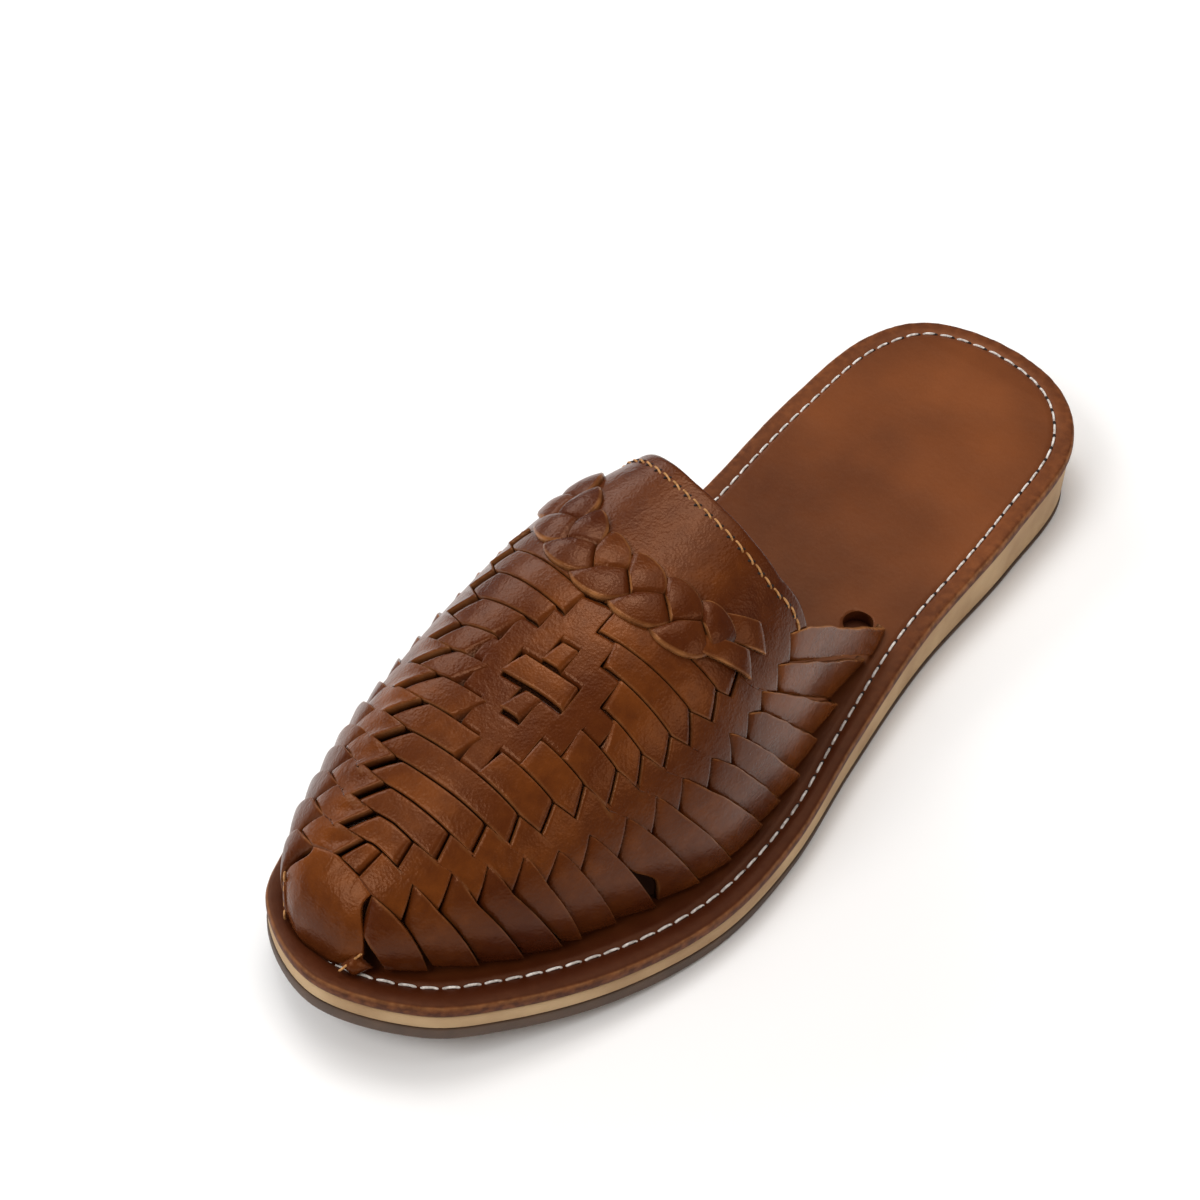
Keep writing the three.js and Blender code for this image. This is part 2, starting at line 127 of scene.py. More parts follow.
world = bpy.data.worlds.new("studio")
world.use_nodes = True
background = world.node_tree.nodes["Background"]
background.inputs["Color"].default_value = hex_colour("#ffffff")
background.inputs["Strength"].default_value = 0.19
bpy.context.scene.world = world

WHITE, WARM = (1.0, 1.0, 1.0), (1.0, 0.86, 0.74)
# name, place, size, power in watts, the point it faces, colour
soft_boxes = [
    ("top", (-0.25, -0.2, 1.35), (1.4, 1.1), 8.5, (0.0, 0.0, 0.03), WHITE),
    ("window", (-0.2, -0.35, 1.25), (0.5, 0.4), 3.2, (0.05, 0.0, 0.05), WHITE),
    ("outer_side", (-0.1, 1.25, 0.75), (1.1, 0.5), 4.2, (0.05, 0.0, 0.03), WARM),
    ("toe_side", (1.0, -0.3, 1.1), (0.9, 0.6), 11, (0.1, 0.0, 0.04), WHITE),
    ("inner_side", (-0.2, -1.3, 0.8), (1.2, 0.6), 8, (0.05, 0.0, 0.05), WHITE),
]
for name, place, size, power, aim, colour in soft_boxes:
    light = bpy.data.lights.new(f"soft_box_{name}", "AREA")
    light.shape = "RECTANGLE"
    light.size, light.size_y = size
    light.energy = power
    light.color = colour
    lamp = add_object(light.name, light)
    lamp.location = place
    lamp.rotation_mode = "QUATERNION"
    lamp.rotation_quaternion = (Vector(place) - Vector(aim)).to_track_quat("Z", "Y")

# Outsole: a thin sheet of dark taupe rubber, cut flush with the shoe's edge and sanded.
# Its outline, toe spring and thickness are the shoe's own, kept as shares of its length and ball width.

outsole_low, outsole_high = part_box("outsole")
SOLE_LENGTH = (outsole_high[0] - outsole_low[0]) / MM
BALL_WIDTH = (outsole_high[1] - outsole_low[1]) / MM
outsole_thickness = 3.7
thin_rubber = 1.3
fit_gap = 0.3

# along as a share of the length from the heel, half widths as shares of the ball width
sole_rows = [
    (0.02, 0.238, 0.193),
    (0.08, 0.345, 0.338),
    (0.20, 0.373, 0.380),
    (0.36, 0.357, 0.393),
    (0.50, 0.378, 0.447),
    (0.62, 0.455, 0.506),
    (0.72, 0.486, 0.508),
    (0.82, 0.453, 0.432),
    (0.91, 0.372, 0.301),
    (0.965, 0.283, 0.177),
]
heel_across, toe_across = -0.022, -0.058
spring_height, spring_start = 11.6, 0.68
heel_stack, toe_stack = 18.0, 7.9
wedge_from, wedge_to, wedge_power = 0.05, 0.65, 1.3


def ground_at(x):
    return spring_height * np.clip((x / SOLE_LENGTH - spring_start) / (1 - spring_start), 0, 1) ** 2


def outsole_top_at(x):
    """The rubber shows as a dark sheet round the forefoot and is sanded down to a thin line behind it."""
    return ground_at(x) + np.interp(x, [150, 225], [thin_rubber, outsole_thickness])


def insole_bottom_at(x):
    share = 1 - np.clip((x / SOLE_LENGTH - wedge_from) / (wedge_to - wedge_from), 0, 1)
    return ground_at(x) + toe_stack + (heel_stack - toe_stack) * share**wedge_power


def smooth_path(points, closed, per_span):
    points = np.asarray(points, float)
    count = len(points)
    path = []
    for i in range(count if closed else count - 1):
        picks = [(i + k) % count if closed else min(max(i + k, 0), count - 1) for k in (-1, 0, 1, 2)]
        a, b, c, d = points[picks]
        spans = ((a, b), (b, c), (c, d))
        knots = np.cumsum([0] + [max(np.linalg.norm(q - p) ** 0.5, 1e-4) for p, q in spans])
        t = np.linspace(knots[1], knots[2], per_span, endpoint=False)[:, None]

        def mix(p, q, from_knot, to_knot):
            start, end = knots[from_knot], knots[to_knot]
            return (p * (end - t) + q * (t - start)) / (end - start)

        low, middle, high = mix(a, b, 0, 1), mix(b, c, 1, 2), mix(c, d, 2, 3)
        path.append(mix(mix(low, middle, 0, 2), mix(middle, high, 1, 3), 1, 2))
    if not closed:
        path.append(points[-1:])
    return np.vstack(path)


sole_points = [(0, heel_across)]
sole_points += [(along, lateral) for along, medial, lateral in sole_rows]
sole_points += [(1, toe_across)]
sole_points += [(along, -medial) for along, medial, lateral in reversed(sole_rows)]
outline = smooth_path(np.array(sole_points) * (SOLE_LENGTH, BALL_WIDTH), True, 60)
middle = (outline.min(axis=0) + outline.max(axis=0)) / 2
STATIONS = 150


def outline_ring(inset):
    """The outline drawn in by an inset: heel tip, outer side, toe tip and back along the inner side."""
    heel, toe = outline[:, 0].argmin(), outline[:, 0].argmax()
    side_a = outline[heel : toe + 1]
    side_b = np.roll(outline, -toe, axis=0)[: len(outline) - toe + heel + 1]
    wanted = (1 - np.cos(np.linspace(0, math.pi, STATIONS + 1))) / 2
    wanted = outline[heel, 0] + (outline[toe, 0] - outline[heel, 0]) * wanted
    lateral = np.stack([wanted, np.interp(wanted, side_a[:, 0], side_a[:, 1])], axis=1)
    order = side_b[:, 0].argsort()
    medial = np.stack([wanted, np.interp(wanted, side_b[order, 0], side_b[order, 1])], axis=1)
    ring = np.vstack([lateral, medial[-2:0:-1]])
    run = np.roll(ring, -1, axis=0) - np.roll(ring, 1, axis=0)
    run /= np.linalg.norm(run, axis=1)[:, None]
    inward = np.stack([run[:, 1], -run[:, 0]], axis=1)
    return ring + inward * np.asarray(inset).reshape(-1, 1)


def sole_layer_mesh(profile, across=24):
    """A closed layer: rings up its side from the profile, and a grid over its bottom and its top.
    Each profile row holds an inset and a function of x that gives the height."""
    rings = []
    for inset, height_at in profile:
        flat = outline_ring(inset)
        rings.append(np.column_stack([flat, height_at(flat[:, 0])]))
    count = len(rings[0])
    verts = [point for ring in rings for point in ring]
    faces = []
    for level in range(len(rings) - 1):
        for i in range(count):
            j = (i + 1) % count
            a, b = level * count, (level + 1) * count
            faces.append((a + i, b + i, b + j, a + j))
    for level, height_at, upward in ((0, profile[0][1], False), (len(rings) - 1, profile[-1][1], True)):
        start = level * count
        grid = [[start] * (across + 1)]
        for i in range(1, STATIONS):
            lateral, medial = verts[start + i], verts[start + count - i]
            row = [start + i]
            for k in range(1, across):
                point = lateral + (medial - lateral) * (k / across)
                point = np.array([point[0], point[1], height_at(point[0])])
                row.append(len(verts))
                verts.append(point)
            row.append(start + count - i)
            grid.append(row)
        grid.append([start + STATIONS] * (across + 1))
        for i in range(STATIONS):
            for k in range(across):
                corners = (grid[i][k], grid[i][k + 1], grid[i + 1][k + 1], grid[i + 1][k])
                quad = list(dict.fromkeys(corners))
                if len(quad) > 2:
                    faces.append(tuple(quad) if upward else tuple(reversed(quad)))
    return np.array(verts), faces


def make_piece(name, verts, faces, material, smooth=True, attributes=None):
    """A mesh object from points in millimetres measured from the heel, moved into the shoe's frame."""
    mesh = bpy.data.meshes.new(name)
    placed = (np.asarray(verts, float) - (middle[0], middle[1], 0)) * MM
    mesh.from_pydata(placed.tolist(), [], [tuple(int(v) for v in face) for face in faces])
    for key, values in (attributes or {}).items():
        layer = mesh.attributes.new(key, "FLOAT", "POINT")
        layer.data.foreach_set("value", np.asarray(values, dtype=np.float32))
    mesh.materials.append(material)
    mesh.validate()
    mesh.update()
    mesh.polygons.foreach_set("use_smooth", [smooth] * len(mesh.polygons))
    return add_object(name, mesh)


def run_along(points):
    """The distance from the first point to each point of a line."""
    return np.concatenate([[0], np.cumsum(np.linalg.norm(np.diff(points, axis=0), axis=1))])


def points_at(at, run, points):
    """The points of a line at given places, where run holds the place of each of its points."""
    return np.stack([np.interp(at, run, column) for column in np.asarray(points).T], axis=-1)


# Vulcanised rubber: dull, very slightly mottled in spots of 7 mm, with the grit marks of the sanding belt,
# which are drawn at 0.6 mm.
rubber, tree, surface = new_material("vulcanised_taupe_rubber", {"Roughness": 0.62})
place = add_node(tree, "ShaderNodeTexCoord").outputs["Object"]
mottle = add_node(tree, "ShaderNodeTexNoise", [(place, "Vector")], in_Scale=140, in_Detail=5)
shade = add_node(
    tree, "ShaderNodeValToRGB", [(mottle.outputs["Fac"], "Fac")],
    stops=[(0.3, "#443225"), (0.75, "#594231")],
)
tree.links.new(shade.outputs["Color"], surface.inputs["Base Color"])
sanding = add_node(tree, "ShaderNodeTexNoise", [(place, "Vector")], in_Scale=1800, in_Detail=3)
bump = add_node(
    tree, "ShaderNodeBump", [(sanding.outputs["Fac"], "Height")], in_Strength=0.25, in_Distance=0.0002
)
tree.links.new(bump.outputs["Normal"], surface.inputs["Normal"])

edge_round = 0.5
verts, faces = sole_layer_mesh(
    [
        (edge_round, ground_at),
        (0.12, lambda x: ground_at(x) + 0.15),
        (0.0, lambda x: ground_at(x) + edge_round),
        (0.0, lambda x: outsole_top_at(x) - 0.3),
        (0.1, lambda x: outsole_top_at(x) - 0.08),
        (0.35, outsole_top_at),
    ]
)
outsole = make_piece("outsole_rubber", verts, faces, rubber)
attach(outsole, "root")
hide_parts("outsole")

# Midsole: a wedge of light tan crepe foam, thick under the heel and thin under the toes.
# It is glued between outsole and insole, and its side is sanded flush, which leaves a soft nap.

# Crepe foam: clouds of 18 mm, and a soft nap of 0.8 mm where the side was sanded
crepe_look = {"Roughness": 0.7, "Subsurface Weight": 0.05, "Subsurface Radius": (0.002, 0.0012, 0.0006)}
crepe, tree, surface = new_material("sanded_tan_crepe_foam", crepe_look)
place = add_node(tree, "ShaderNodeTexCoord").outputs["Object"]
cloud = add_node(tree, "ShaderNodeTexNoise", [(place, "Vector")], in_Scale=55, in_Detail=6)
shade = add_node(
    tree, "ShaderNodeValToRGB", [(cloud.outputs["Fac"], "Fac")],
    stops=[(0.3, "#a28059"), (0.72, "#c4a57c")],
)
tree.links.new(shade.outputs["Color"], surface.inputs["Base Color"])
nap = add_node(tree, "ShaderNodeTexNoise", [(place, "Vector")], in_Scale=1200, in_Detail=4)
bump = add_node(
    tree, "ShaderNodeBump", [(nap.outputs["Fac"], "Height")], in_Strength=0.35, in_Distance=0.0003
)
tree.links.new(bump.outputs["Normal"], surface.inputs["Normal"])


def midsole_level(share):
    def height_at(x):
        low = outsole_top_at(x) + fit_gap / 2
        high = insole_bottom_at(x) - 0.05
        return low + (high - low) * share

    return height_at


# inset from the outline, and the share of the way from its underside to its top
midsole_rows = [
    (1.0, 0), (0.45, 0.02), (0.3, 0.08), (0.35, 0.35), (0.45, 0.65), (0.55, 0.93), (0.75, 0.985), (1.3, 1),
]
verts, faces = sole_layer_mesh([(inset, midsole_level(share)) for inset, share in midsole_rows])
midsole = make_piece("midsole_crepe", verts, faces, crepe)
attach(midsole, "root")
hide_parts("midsole")

# Insole: a board of vegetable tanned leather, dyed brown and rubbed to a gloss, with a burnished edge.
# A lockstitch of white thread in a shallow channel sews it to the midsole all the way round.

insole_thickness = 4.1
lacing_hole_behind_toe, lacing_hole_from_middle, lacing_hole_diameter = 171, 24, 8
TOE_MARGIN = 5.3

insole_leather, tree, surface = new_material(
    "burnished_vegetable_tanned_insole_leather", {"IOR": 1.42, "Specular Tint": hex_colour("#ffc096")}
)
place = add_node(tree, "ShaderNodeTexCoord").outputs["Object"]
# Noise in cells a metre: dye blotches of 45 mm, fibres of 2.4 mm on the cut edge, nicks of 1.5 mm on its
# rim, rubbed patches of 17 mm and a swell of 22 mm. The pores are drawn at 1.1 mm, coarse enough to show.
blotch, fibre, nicks, rub, pores, wave = (
    add_node(tree, "ShaderNodeTexNoise", [(place, "Vector")], in_Scale=scale, in_Detail=detail).outputs["Fac"]
    for scale, detail in ((22, 7), (420, 6), (650, 4), (60, 4), (900, 5), (45, 3))
)
edge, raw, dark = (
    add_node(tree, "ShaderNodeAttribute", attribute_name=name).outputs["Fac"]
    for name in ("edge", "raw", "dark")
)
shade = add_node(tree, "ShaderNodeValToRGB", [(blotch, "Fac")], stops=[(0.32, "#4c240f"), (0.7, "#733d1c")])
fibre_shade = add_node(
    tree, "ShaderNodeValToRGB", [(fibre, "Fac")], stops=[(0.42, "#45200f"), (0.66, "#7a4524")]
)
colour = add_node(
    tree, "ShaderNodeMix", [(edge, 0), (shade.outputs["Color"], 6), (fibre_shade.outputs["Color"], 7)],
    data_type="RGBA",
).outputs[2]
nick_share = add_node(tree, "ShaderNodeMapRange", [(nicks, "Value")], in_1=0.3, in_2=0.7, in_3=0.2, in_4=0.8)
raw_fibre = add_node(tree, "ShaderNodeMath", [(raw, 0), (nick_share.outputs[0], 1)], operation="MULTIPLY")
# the dark attribute mixes in deep brown: painted shade under the upper and in the lacing hole, with dye and
# wax round the straps' feet
for share, tone in ((raw_fibre.outputs[0], "#9c6a42"), (dark, "#340f03")):
    colour = add_node(
        tree, "ShaderNodeMix", [(share, 0), (colour, 6)], data_type="RGBA", in_7=hex_colour(tone)
    ).outputs[2]
tree.links.new(colour, surface.inputs["Base Color"])
gloss = add_node(tree, "ShaderNodeMapRange", [(rub, "Value")], in_3=0.3, in_4=0.48)
dull_edge = add_node(
    tree, "ShaderNodeMath", [(edge, 0), (gloss.outputs[0], 2)], operation="MULTIPLY_ADD", in_1=0.25
)
tree.links.new(dull_edge.outputs[0], surface.inputs["Roughness"])
bump = add_node(tree, "ShaderNodeBump", [(pores, "Height")], in_Strength=0.18, in_Distance=0.0003)
swell = add_node(
    tree, "ShaderNodeBump", [(wave, "Height"), (bump.outputs["Normal"], "Normal")],
    in_Strength=0.3, in_Distance=0.002,
)
tree.links.new(swell.outputs["Normal"], surface.inputs["Normal"])


def insole_level(up):
    return lambda x: insole_bottom_at(x) + up


top = insole_thickness
rim_ring = outline_ring(0)
stitch_inset = np.interp(
    rim_ring[:, 0], [0, 60, 85, 115, 165, 200, 245, 290], [5.6, 5.6, 5.1, 5.6, 4.5, 5.2, 6.2, 6.4]
)
# inset from the outline and height over the underside: side, rounded edge, stitch channel, inner part
insole_rows = [
    (1.2, 0.0), (0.5, 0.15), (0.15, 0.7), (0.0, 1.6), (0.0, 2.6), (0.12, 3.2), (0.35, 3.65),
    (0.75, top - 0.18), (1.4, top - 0.06), (2.6, top), (stitch_inset - 0.95, top - 0.05),
    (stitch_inset - 0.45, top - 0.36), (stitch_inset, top - 0.42), (stitch_inset + 0.45, top - 0.34),
    (stitch_inset + 0.95, top - 0.04), (stitch_inset + 2.2, top),
]
insole_profile = [(inset, insole_level(up)) for inset, up in insole_rows]
verts, faces = sole_layer_mesh(insole_profile, 40)
ring_size = 2 * STATIONS
edge_values = np.zeros(len(verts))
for level, amount in enumerate([1, 1, 1, 1, 1, 1, 0.9, 0.7, 0.45, 0.3, 0.2]):
    edge_values[level * ring_size : (level + 1) * ring_size] = amount
raw_values = np.zeros(len(verts))
raw_values[5 * ring_size : 6 * ring_size] = 0.7
raw_values[6 * ring_size : 7 * ring_size] = 1.0
edge_draw = random.Random(5)
for level in range(4, 8):
    for i in range(ring_size):
        verts[level * ring_size + i, 2] += edge_draw.uniform(-0.1, 0.1)
# darker round the straps' feet and the toe: painted shade under the upper, with dye and wax gathered where
# the leather was not rubbed
rim_distance = np.min([np.hypot(verts[:, 0] - x, verts[:, 1] - y) for x, y in rim_ring[::4, :2]], axis=0)
insole_shade_and_dye = np.interp(verts[:, 0], [85, 150], [0.0, 0.85]) * np.interp(rim_distance, [8, 16], [1, 0])
insole_shade_and_dye[: 7 * ring_size] *= 0.35
insole = make_piece(
    "insole_board", verts, faces, insole_leather,
    attributes={"edge": edge_values, "raw": raw_values, "dark": insole_shade_and_dye},
)

# The round lacing hole is drilled behind the last strap of the outer side
hole_x = SOLE_LENGTH - TOE_MARGIN - lacing_hole_behind_toe
bpy.ops.mesh.primitive_cylinder_add(
    vertices=40,
    radius=lacing_hole_diameter / 2 * MM,
    depth=insole_thickness * 1.1 * MM,
    location=(
        (hole_x - middle[0]) * MM,
        (lacing_hole_from_middle - middle[1]) * MM,
        (float(insole_bottom_at(hole_x)) + insole_thickness * 0.75) * MM,
    ),
)
drill = bpy.context.object
drill.data.materials.append(insole_leather)
cut = insole.modifiers.new("lacing_hole", "BOOLEAN")
cut.object = drill
cut.operation = "DIFFERENCE"
cut.solver = "EXACT"
bpy.context.view_layer.objects.active = insole
bpy.ops.object.modifier_apply(modifier=cut.name)
hole_middle = drill.location.copy()
bpy.data.objects.remove(drill)
# painted shade: the lacing hole's walls below its middle take the full deep brown
hole_shade_share = insole.data.attributes["dark"].data
for vertex in insole.data.vertices:
    across = math.hypot(vertex.co.x - hole_middle.x, vertex.co.y - hole_middle.y)
    if across < (lacing_hole_diameter / 2 + 0.05) * MM and vertex.co.z < hole_middle.z:
        hole_shade_share[vertex.index].value = 1.0
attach(insole, "root")
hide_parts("insole")


def stitch_tree():
    """Stitches along a line of points: a small arched thread every pitch, turned by a slant."""
    tree = bpy.data.node_groups.new("stitch_line", "GeometryNodeTree")
    sockets = tree.interface
    sockets.new_socket("Geometry", in_out="INPUT", socket_type="NodeSocketGeometry")
    for name in ("Pitch", "Length", "Thread", "Rise", "Slant"):
        sockets.new_socket(name, in_out="INPUT", socket_type="NodeSocketFloat")
    sockets.new_socket("Material", in_out="INPUT", socket_type="NodeSocketMaterial")
    sockets.new_socket("Geometry", in_out="OUTPUT", socket_type="NodeSocketGeometry")
    given = add_node(tree, "NodeGroupInput")
    path = add_node(tree, "GeometryNodeMeshToCurve", [(given.outputs["Geometry"], "Mesh")])
    spaced = add_node(
        tree, "GeometryNodeResampleCurve",
        [(path.outputs["Curve"], "Curve"), (given.outputs["Pitch"], "Length")], mode="LENGTH",
    )
    half, minus, dip = (
        add_node(tree, "ShaderNodeMath", [(given.outputs[size], 0)], operation="MULTIPLY", in_1=factor)
        for size, factor in (("Length", 0.5), ("Length", -0.5), ("Thread", -1.1))
    )
    low, high = dip.outputs[0], given.outputs["Rise"]
    arch_points = [
        (add_node(tree, "ShaderNodeCombineXYZ", [(x.outputs[0], "X"), (z, "Z")]).outputs[0], socket)
        for x, z, socket in (
            (minus, low, "Start"), (minus, high, "Start Handle"),
            (half, high, "End Handle"), (half, low, "End"),
        )
    ]
    arch = add_node(tree, "GeometryNodeCurvePrimitiveBezierSegment", arch_points, in_Resolution=9)
    round_thread = add_node(
        tree, "GeometryNodeCurvePrimitiveCircle", [(given.outputs["Thread"], "Radius")], in_Resolution=8
    )
    thread = add_node(
        tree, "GeometryNodeCurveToMesh",
        [(arch.outputs[0], "Curve"), (round_thread.outputs[0], "Profile Curve")], in_Fill_Caps=True,
    )
    tangent = add_node(tree, "GeometryNodeInputTangent")
    up = add_node(tree, "GeometryNodeInputNamedAttribute", data_type="FLOAT_VECTOR", in_Name="up")
    along = add_node(tree, "FunctionNodeAlignRotationToVector", [(tangent.outputs[0], "Vector")], axis="X")
    upright = add_node(
        tree, "FunctionNodeAlignRotationToVector",
        [(along.outputs[0], "Rotation"), (up.outputs[0], "Vector")], axis="Z", pivot_axis="X",
    )
    lean = add_node(tree, "ShaderNodeCombineXYZ", [(given.outputs["Slant"], "Z")])
    lean_turn = add_node(tree, "FunctionNodeEulerToRotation", [(lean.outputs[0], 0)])
    turned = add_node(
        tree, "FunctionNodeRotateRotation", [(upright.outputs[0], 0), (lean_turn.outputs[0], 1)],
        rotation_space="LOCAL",
    )
    placed = add_node(
        tree, "GeometryNodeInstanceOnPoints",
        [(spaced.outputs[0], "Points"), (thread.outputs[0], "Instance"), (turned.outputs[0], "Rotation")],
    )
    real = add_node(tree, "GeometryNodeRealizeInstances", [(placed.outputs[0], 0)])
    shaded = add_node(tree, "GeometryNodeSetShadeSmooth", [(real.outputs[0], 0)])
    dressed = add_node(
        tree, "GeometryNodeSetMaterial", [(shaded.outputs[0], 0), (given.outputs["Material"], "Material")]
    )
    add_node(tree, "NodeGroupOutput", [(dressed.outputs[0], 0)])
    return tree


stitch_nodes = stitch_tree()


def sew(name, points, ups, closed, material, pitch, length, thread, rise, slant=0.0):
    """Runs the stitch tree along points in millimetres and leaves a plain mesh."""
    mesh = bpy.data.meshes.new(name + "_line")
    count = len(points)
    edges = [(i, i + 1) for i in range(count - 1)] + ([(count - 1, 0)] if closed else [])
    mesh.from_pydata(((np.asarray(points) - (middle[0], middle[1], 0)) * MM).tolist(), edges, [])
    layer = mesh.attributes.new("up", "FLOAT_VECTOR", "POINT")
    layer.data.foreach_set("vector", np.asarray(ups, dtype=np.float32).ravel())
    line = add_object(name + "_line", mesh)
    modifier = line.modifiers.new("stitches", "NODES")
    modifier.node_group = stitch_nodes
    values = {"Pitch": pitch * MM, "Length": length * MM, "Thread": thread * MM, "Rise": rise * MM}
    values.update({"Slant": slant, "Material": material})
    for item in stitch_nodes.interface.items_tree:
        if item.in_out == "INPUT" and item.name in values:
            modifier[item.identifier] = values[item.name]
    evaluated = line.evaluated_get(bpy.context.evaluated_depsgraph_get())
    result = bpy.data.meshes.new_from_object(evaluated)
    result.name = name
    line.modifiers.remove(modifier)
    bpy.data.objects.remove(line)
    piece = add_object(name, result)
    if not result.materials:
        result.materials.append(material)
    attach(piece, "root")
    return piece


def thread_material(name, dark, light):
    """Waxed linen thread, matt. Its twist is too fine to show and is drawn as specks of about 1.1 mm."""
    material, tree, surface = new_material(name, {"Roughness": 0.75})
    place = add_node(tree, "ShaderNodeTexCoord").outputs["Object"]
    twist = add_node(tree, "ShaderNodeTexNoise", [(place, "Vector")], in_Scale=900, in_Detail=3)
    shade = add_node(
        tree, "ShaderNodeValToRGB", [(twist.outputs["Fac"], "Fac")],
        stops=[(0.35, dark), (0.65, light)],
    )
    tree.links.new(shade.outputs["Color"], surface.inputs["Base Color"])
    bump = add_node(
        tree, "ShaderNodeBump", [(twist.outputs["Fac"], "Height")], in_Strength=0.5, in_Distance=0.0002
    )
    tree.links.new(bump.outputs["Normal"], surface.inputs["Normal"])
    return material


hole_shadow = new_material("dark_needle_hole", {"Base Color": hex_colour("#1a0904"), "Roughness": 0.9})[0]

white_thread = thread_material("waxed_white_linen_thread", "#a39a92", "#e6dfd8")
insole_pitch = 4.95
seam_ring = outline_ring(stitch_inset)
seam_points = np.column_stack([seam_ring, insole_bottom_at(seam_ring[:, 0]) + insole_thickness - 0.4])
seam_length = np.linalg.norm(np.roll(seam_points, -1, axis=0) - seam_points, axis=1).sum()
seam_pitch = seam_length / round(seam_length / insole_pitch)
insole_seam = sew(
    "insole_stitches", seam_points, np.tile((0, 0, 1), (len(seam_points), 1)), True, white_thread,
    pitch=seam_pitch, length=3.9, thread=0.33, rise=0.5,
)

# The holes lie between the stitches, so their line starts half a pitch further on
seam_run = run_along(seam_points)
hole_at = np.arange(seam_pitch / 2, seam_length - seam_pitch / 2, 1.0)
hole_points = points_at(hole_at, seam_run, seam_points)
insole_holes = sew(
    "insole_needle_holes", hole_points, np.tile((0, 0, 1), (len(hole_points), 1)), False, hole_shadow,
    pitch=seam_pitch, length=1.3, thread=0.42, rise=0.2,
)

# The last: the shape that the upper was pulled over, as a chart of x from the heel and s, the distance
# down the wall from the ridge, less than zero on the outer side. Every strip of the upper is drawn on it.

UPPER_LENGTH = 129.5
INSTEP_HEIGHT = 67.5
# behind the toe as a share of the upper's length, widths of the ball width, height of the instep height
last_rows = np.array(
    [
        (1.386, 0.287, 0.307, -0.020, 0.999, 2.3, 0.0),
        (1.116, 0.307, 0.337, -0.030, 1.003, 2.4, 0.01),
        (0.884, 0.441, 0.391, -0.040, 0.933, 2.5, 0.075),
        (0.653, 0.451, 0.416, -0.050, 0.865, 2.5, 0.045),
        (0.421, 0.444, 0.337, -0.059, 0.681, 2.4, 0.045),
        (0.228, 0.399, 0.248, -0.069, 0.493, 2.4, 0.05),
        (0.004, 0.363, 0.119, -0.089, 0.382, 2.3, 0.04),
    ]
)
nose_share, nose_power, bulge_height = 0.343, 2.3, 14
tip_x = SOLE_LENGTH - TOE_MARGIN
nose_x = tip_x - nose_share * UPPER_LENGTH


def smooth_between(keys, values, at):
    """Values of a table's column between its rows, on a smooth curve. Keys may fall or rise."""
    keys, values = np.asarray(keys, float), np.asarray(values, float)
    if keys[-1] < keys[0]:
        keys, values = keys[::-1], values[::-1]
    at = np.asarray(at, float)
    slopes = np.empty(len(keys))
    slopes[1:-1] = (values[2:] - values[:-2]) / (keys[2:] - keys[:-2])
    slopes[0] = (values[1] - values[0]) / (keys[1] - keys[0])
    slopes[-1] = (values[-1] - values[-2]) / (keys[-1] - keys[-2])
    i = np.clip(np.searchsorted(keys, at) - 1, 0, len(keys) - 2)
    span = keys[i + 1] - keys[i]
    t = (at - keys[i]) / span
    ends = (2 * t**3 - 3 * t**2 + 1) * values[i] + (3 * t**2 - 2 * t**3) * values[i + 1]
    return ends + span * ((t**3 - 2 * t**2 + t) * slopes[i] + (t**3 - t**2) * slopes[i + 1])


def last_point(x, angle, lift=0.0):
    x, angle, lift = np.broadcast_arrays(np.asarray(x, float), angle, lift)
    behind = (tip_x - x) / UPPER_LENGTH
    row = [smooth_between(last_rows[:, 0], last_rows[:, k], behind) for k in range(1, 7)]
    medial, lateral, ridge, height, fullness, tuck = row
    nose = np.clip((x - nose_x) / (tip_x - nose_x), 0, 1)
    closing = np.maximum(1 - nose**nose_power, 0) ** (1 / nose_power)
    ridge = ridge * BALL_WIDTH
    cos, sin = np.cos(angle), np.sin(angle)
    half_width = np.where(cos > 0, lateral * BALL_WIDTH - ridge, ridge + medial * BALL_WIDTH)
    power = 2 / fullness
    up = (height * INSTEP_HEIGHT + lift) * closing * np.abs(sin) ** power
    tucked = np.where(cos < 0, tuck * BALL_WIDTH * closing * (1 - np.clip(up / bulge_height, 0, 1)) ** 2, 0)
    out = (half_width + lift) * closing * np.abs(cos) ** power - tucked
    along = np.where(x > nose_x, nose_x + (x - nose_x) * (tip_x + lift - nose_x) / (tip_x - nose_x), x)
    base = insole_bottom_at(along) + insole_thickness + fit_gap
    return np.stack([along, ridge + np.sign(cos) * out, base + up], axis=-1)


chart_x = tip_x - 0.05 - (tip_x - 100) * np.linspace(0, 1, 260) ** 1.5
chart_angles = np.linspace(0, math.pi, 181)
chart_points = last_point(chart_x[:, None], chart_angles[None, :])
chart_steps = np.linalg.norm(np.diff(chart_points, axis=1), axis=2)
chart_arcs = np.concatenate([np.zeros((len(chart_x), 1)), np.cumsum(chart_steps, axis=1)], axis=1)
chart_arcs -= chart_arcs[:, 90:91]


def half_arc(x, side):
    """The distance from the ridge down to the insole, on the outer side (-1) or the inner side (1)."""
    column = chart_arcs[:, 0] if side < 0 else chart_arcs[:, -1]
    return np.interp(np.asarray(x, float), chart_x[::-1], column[::-1])


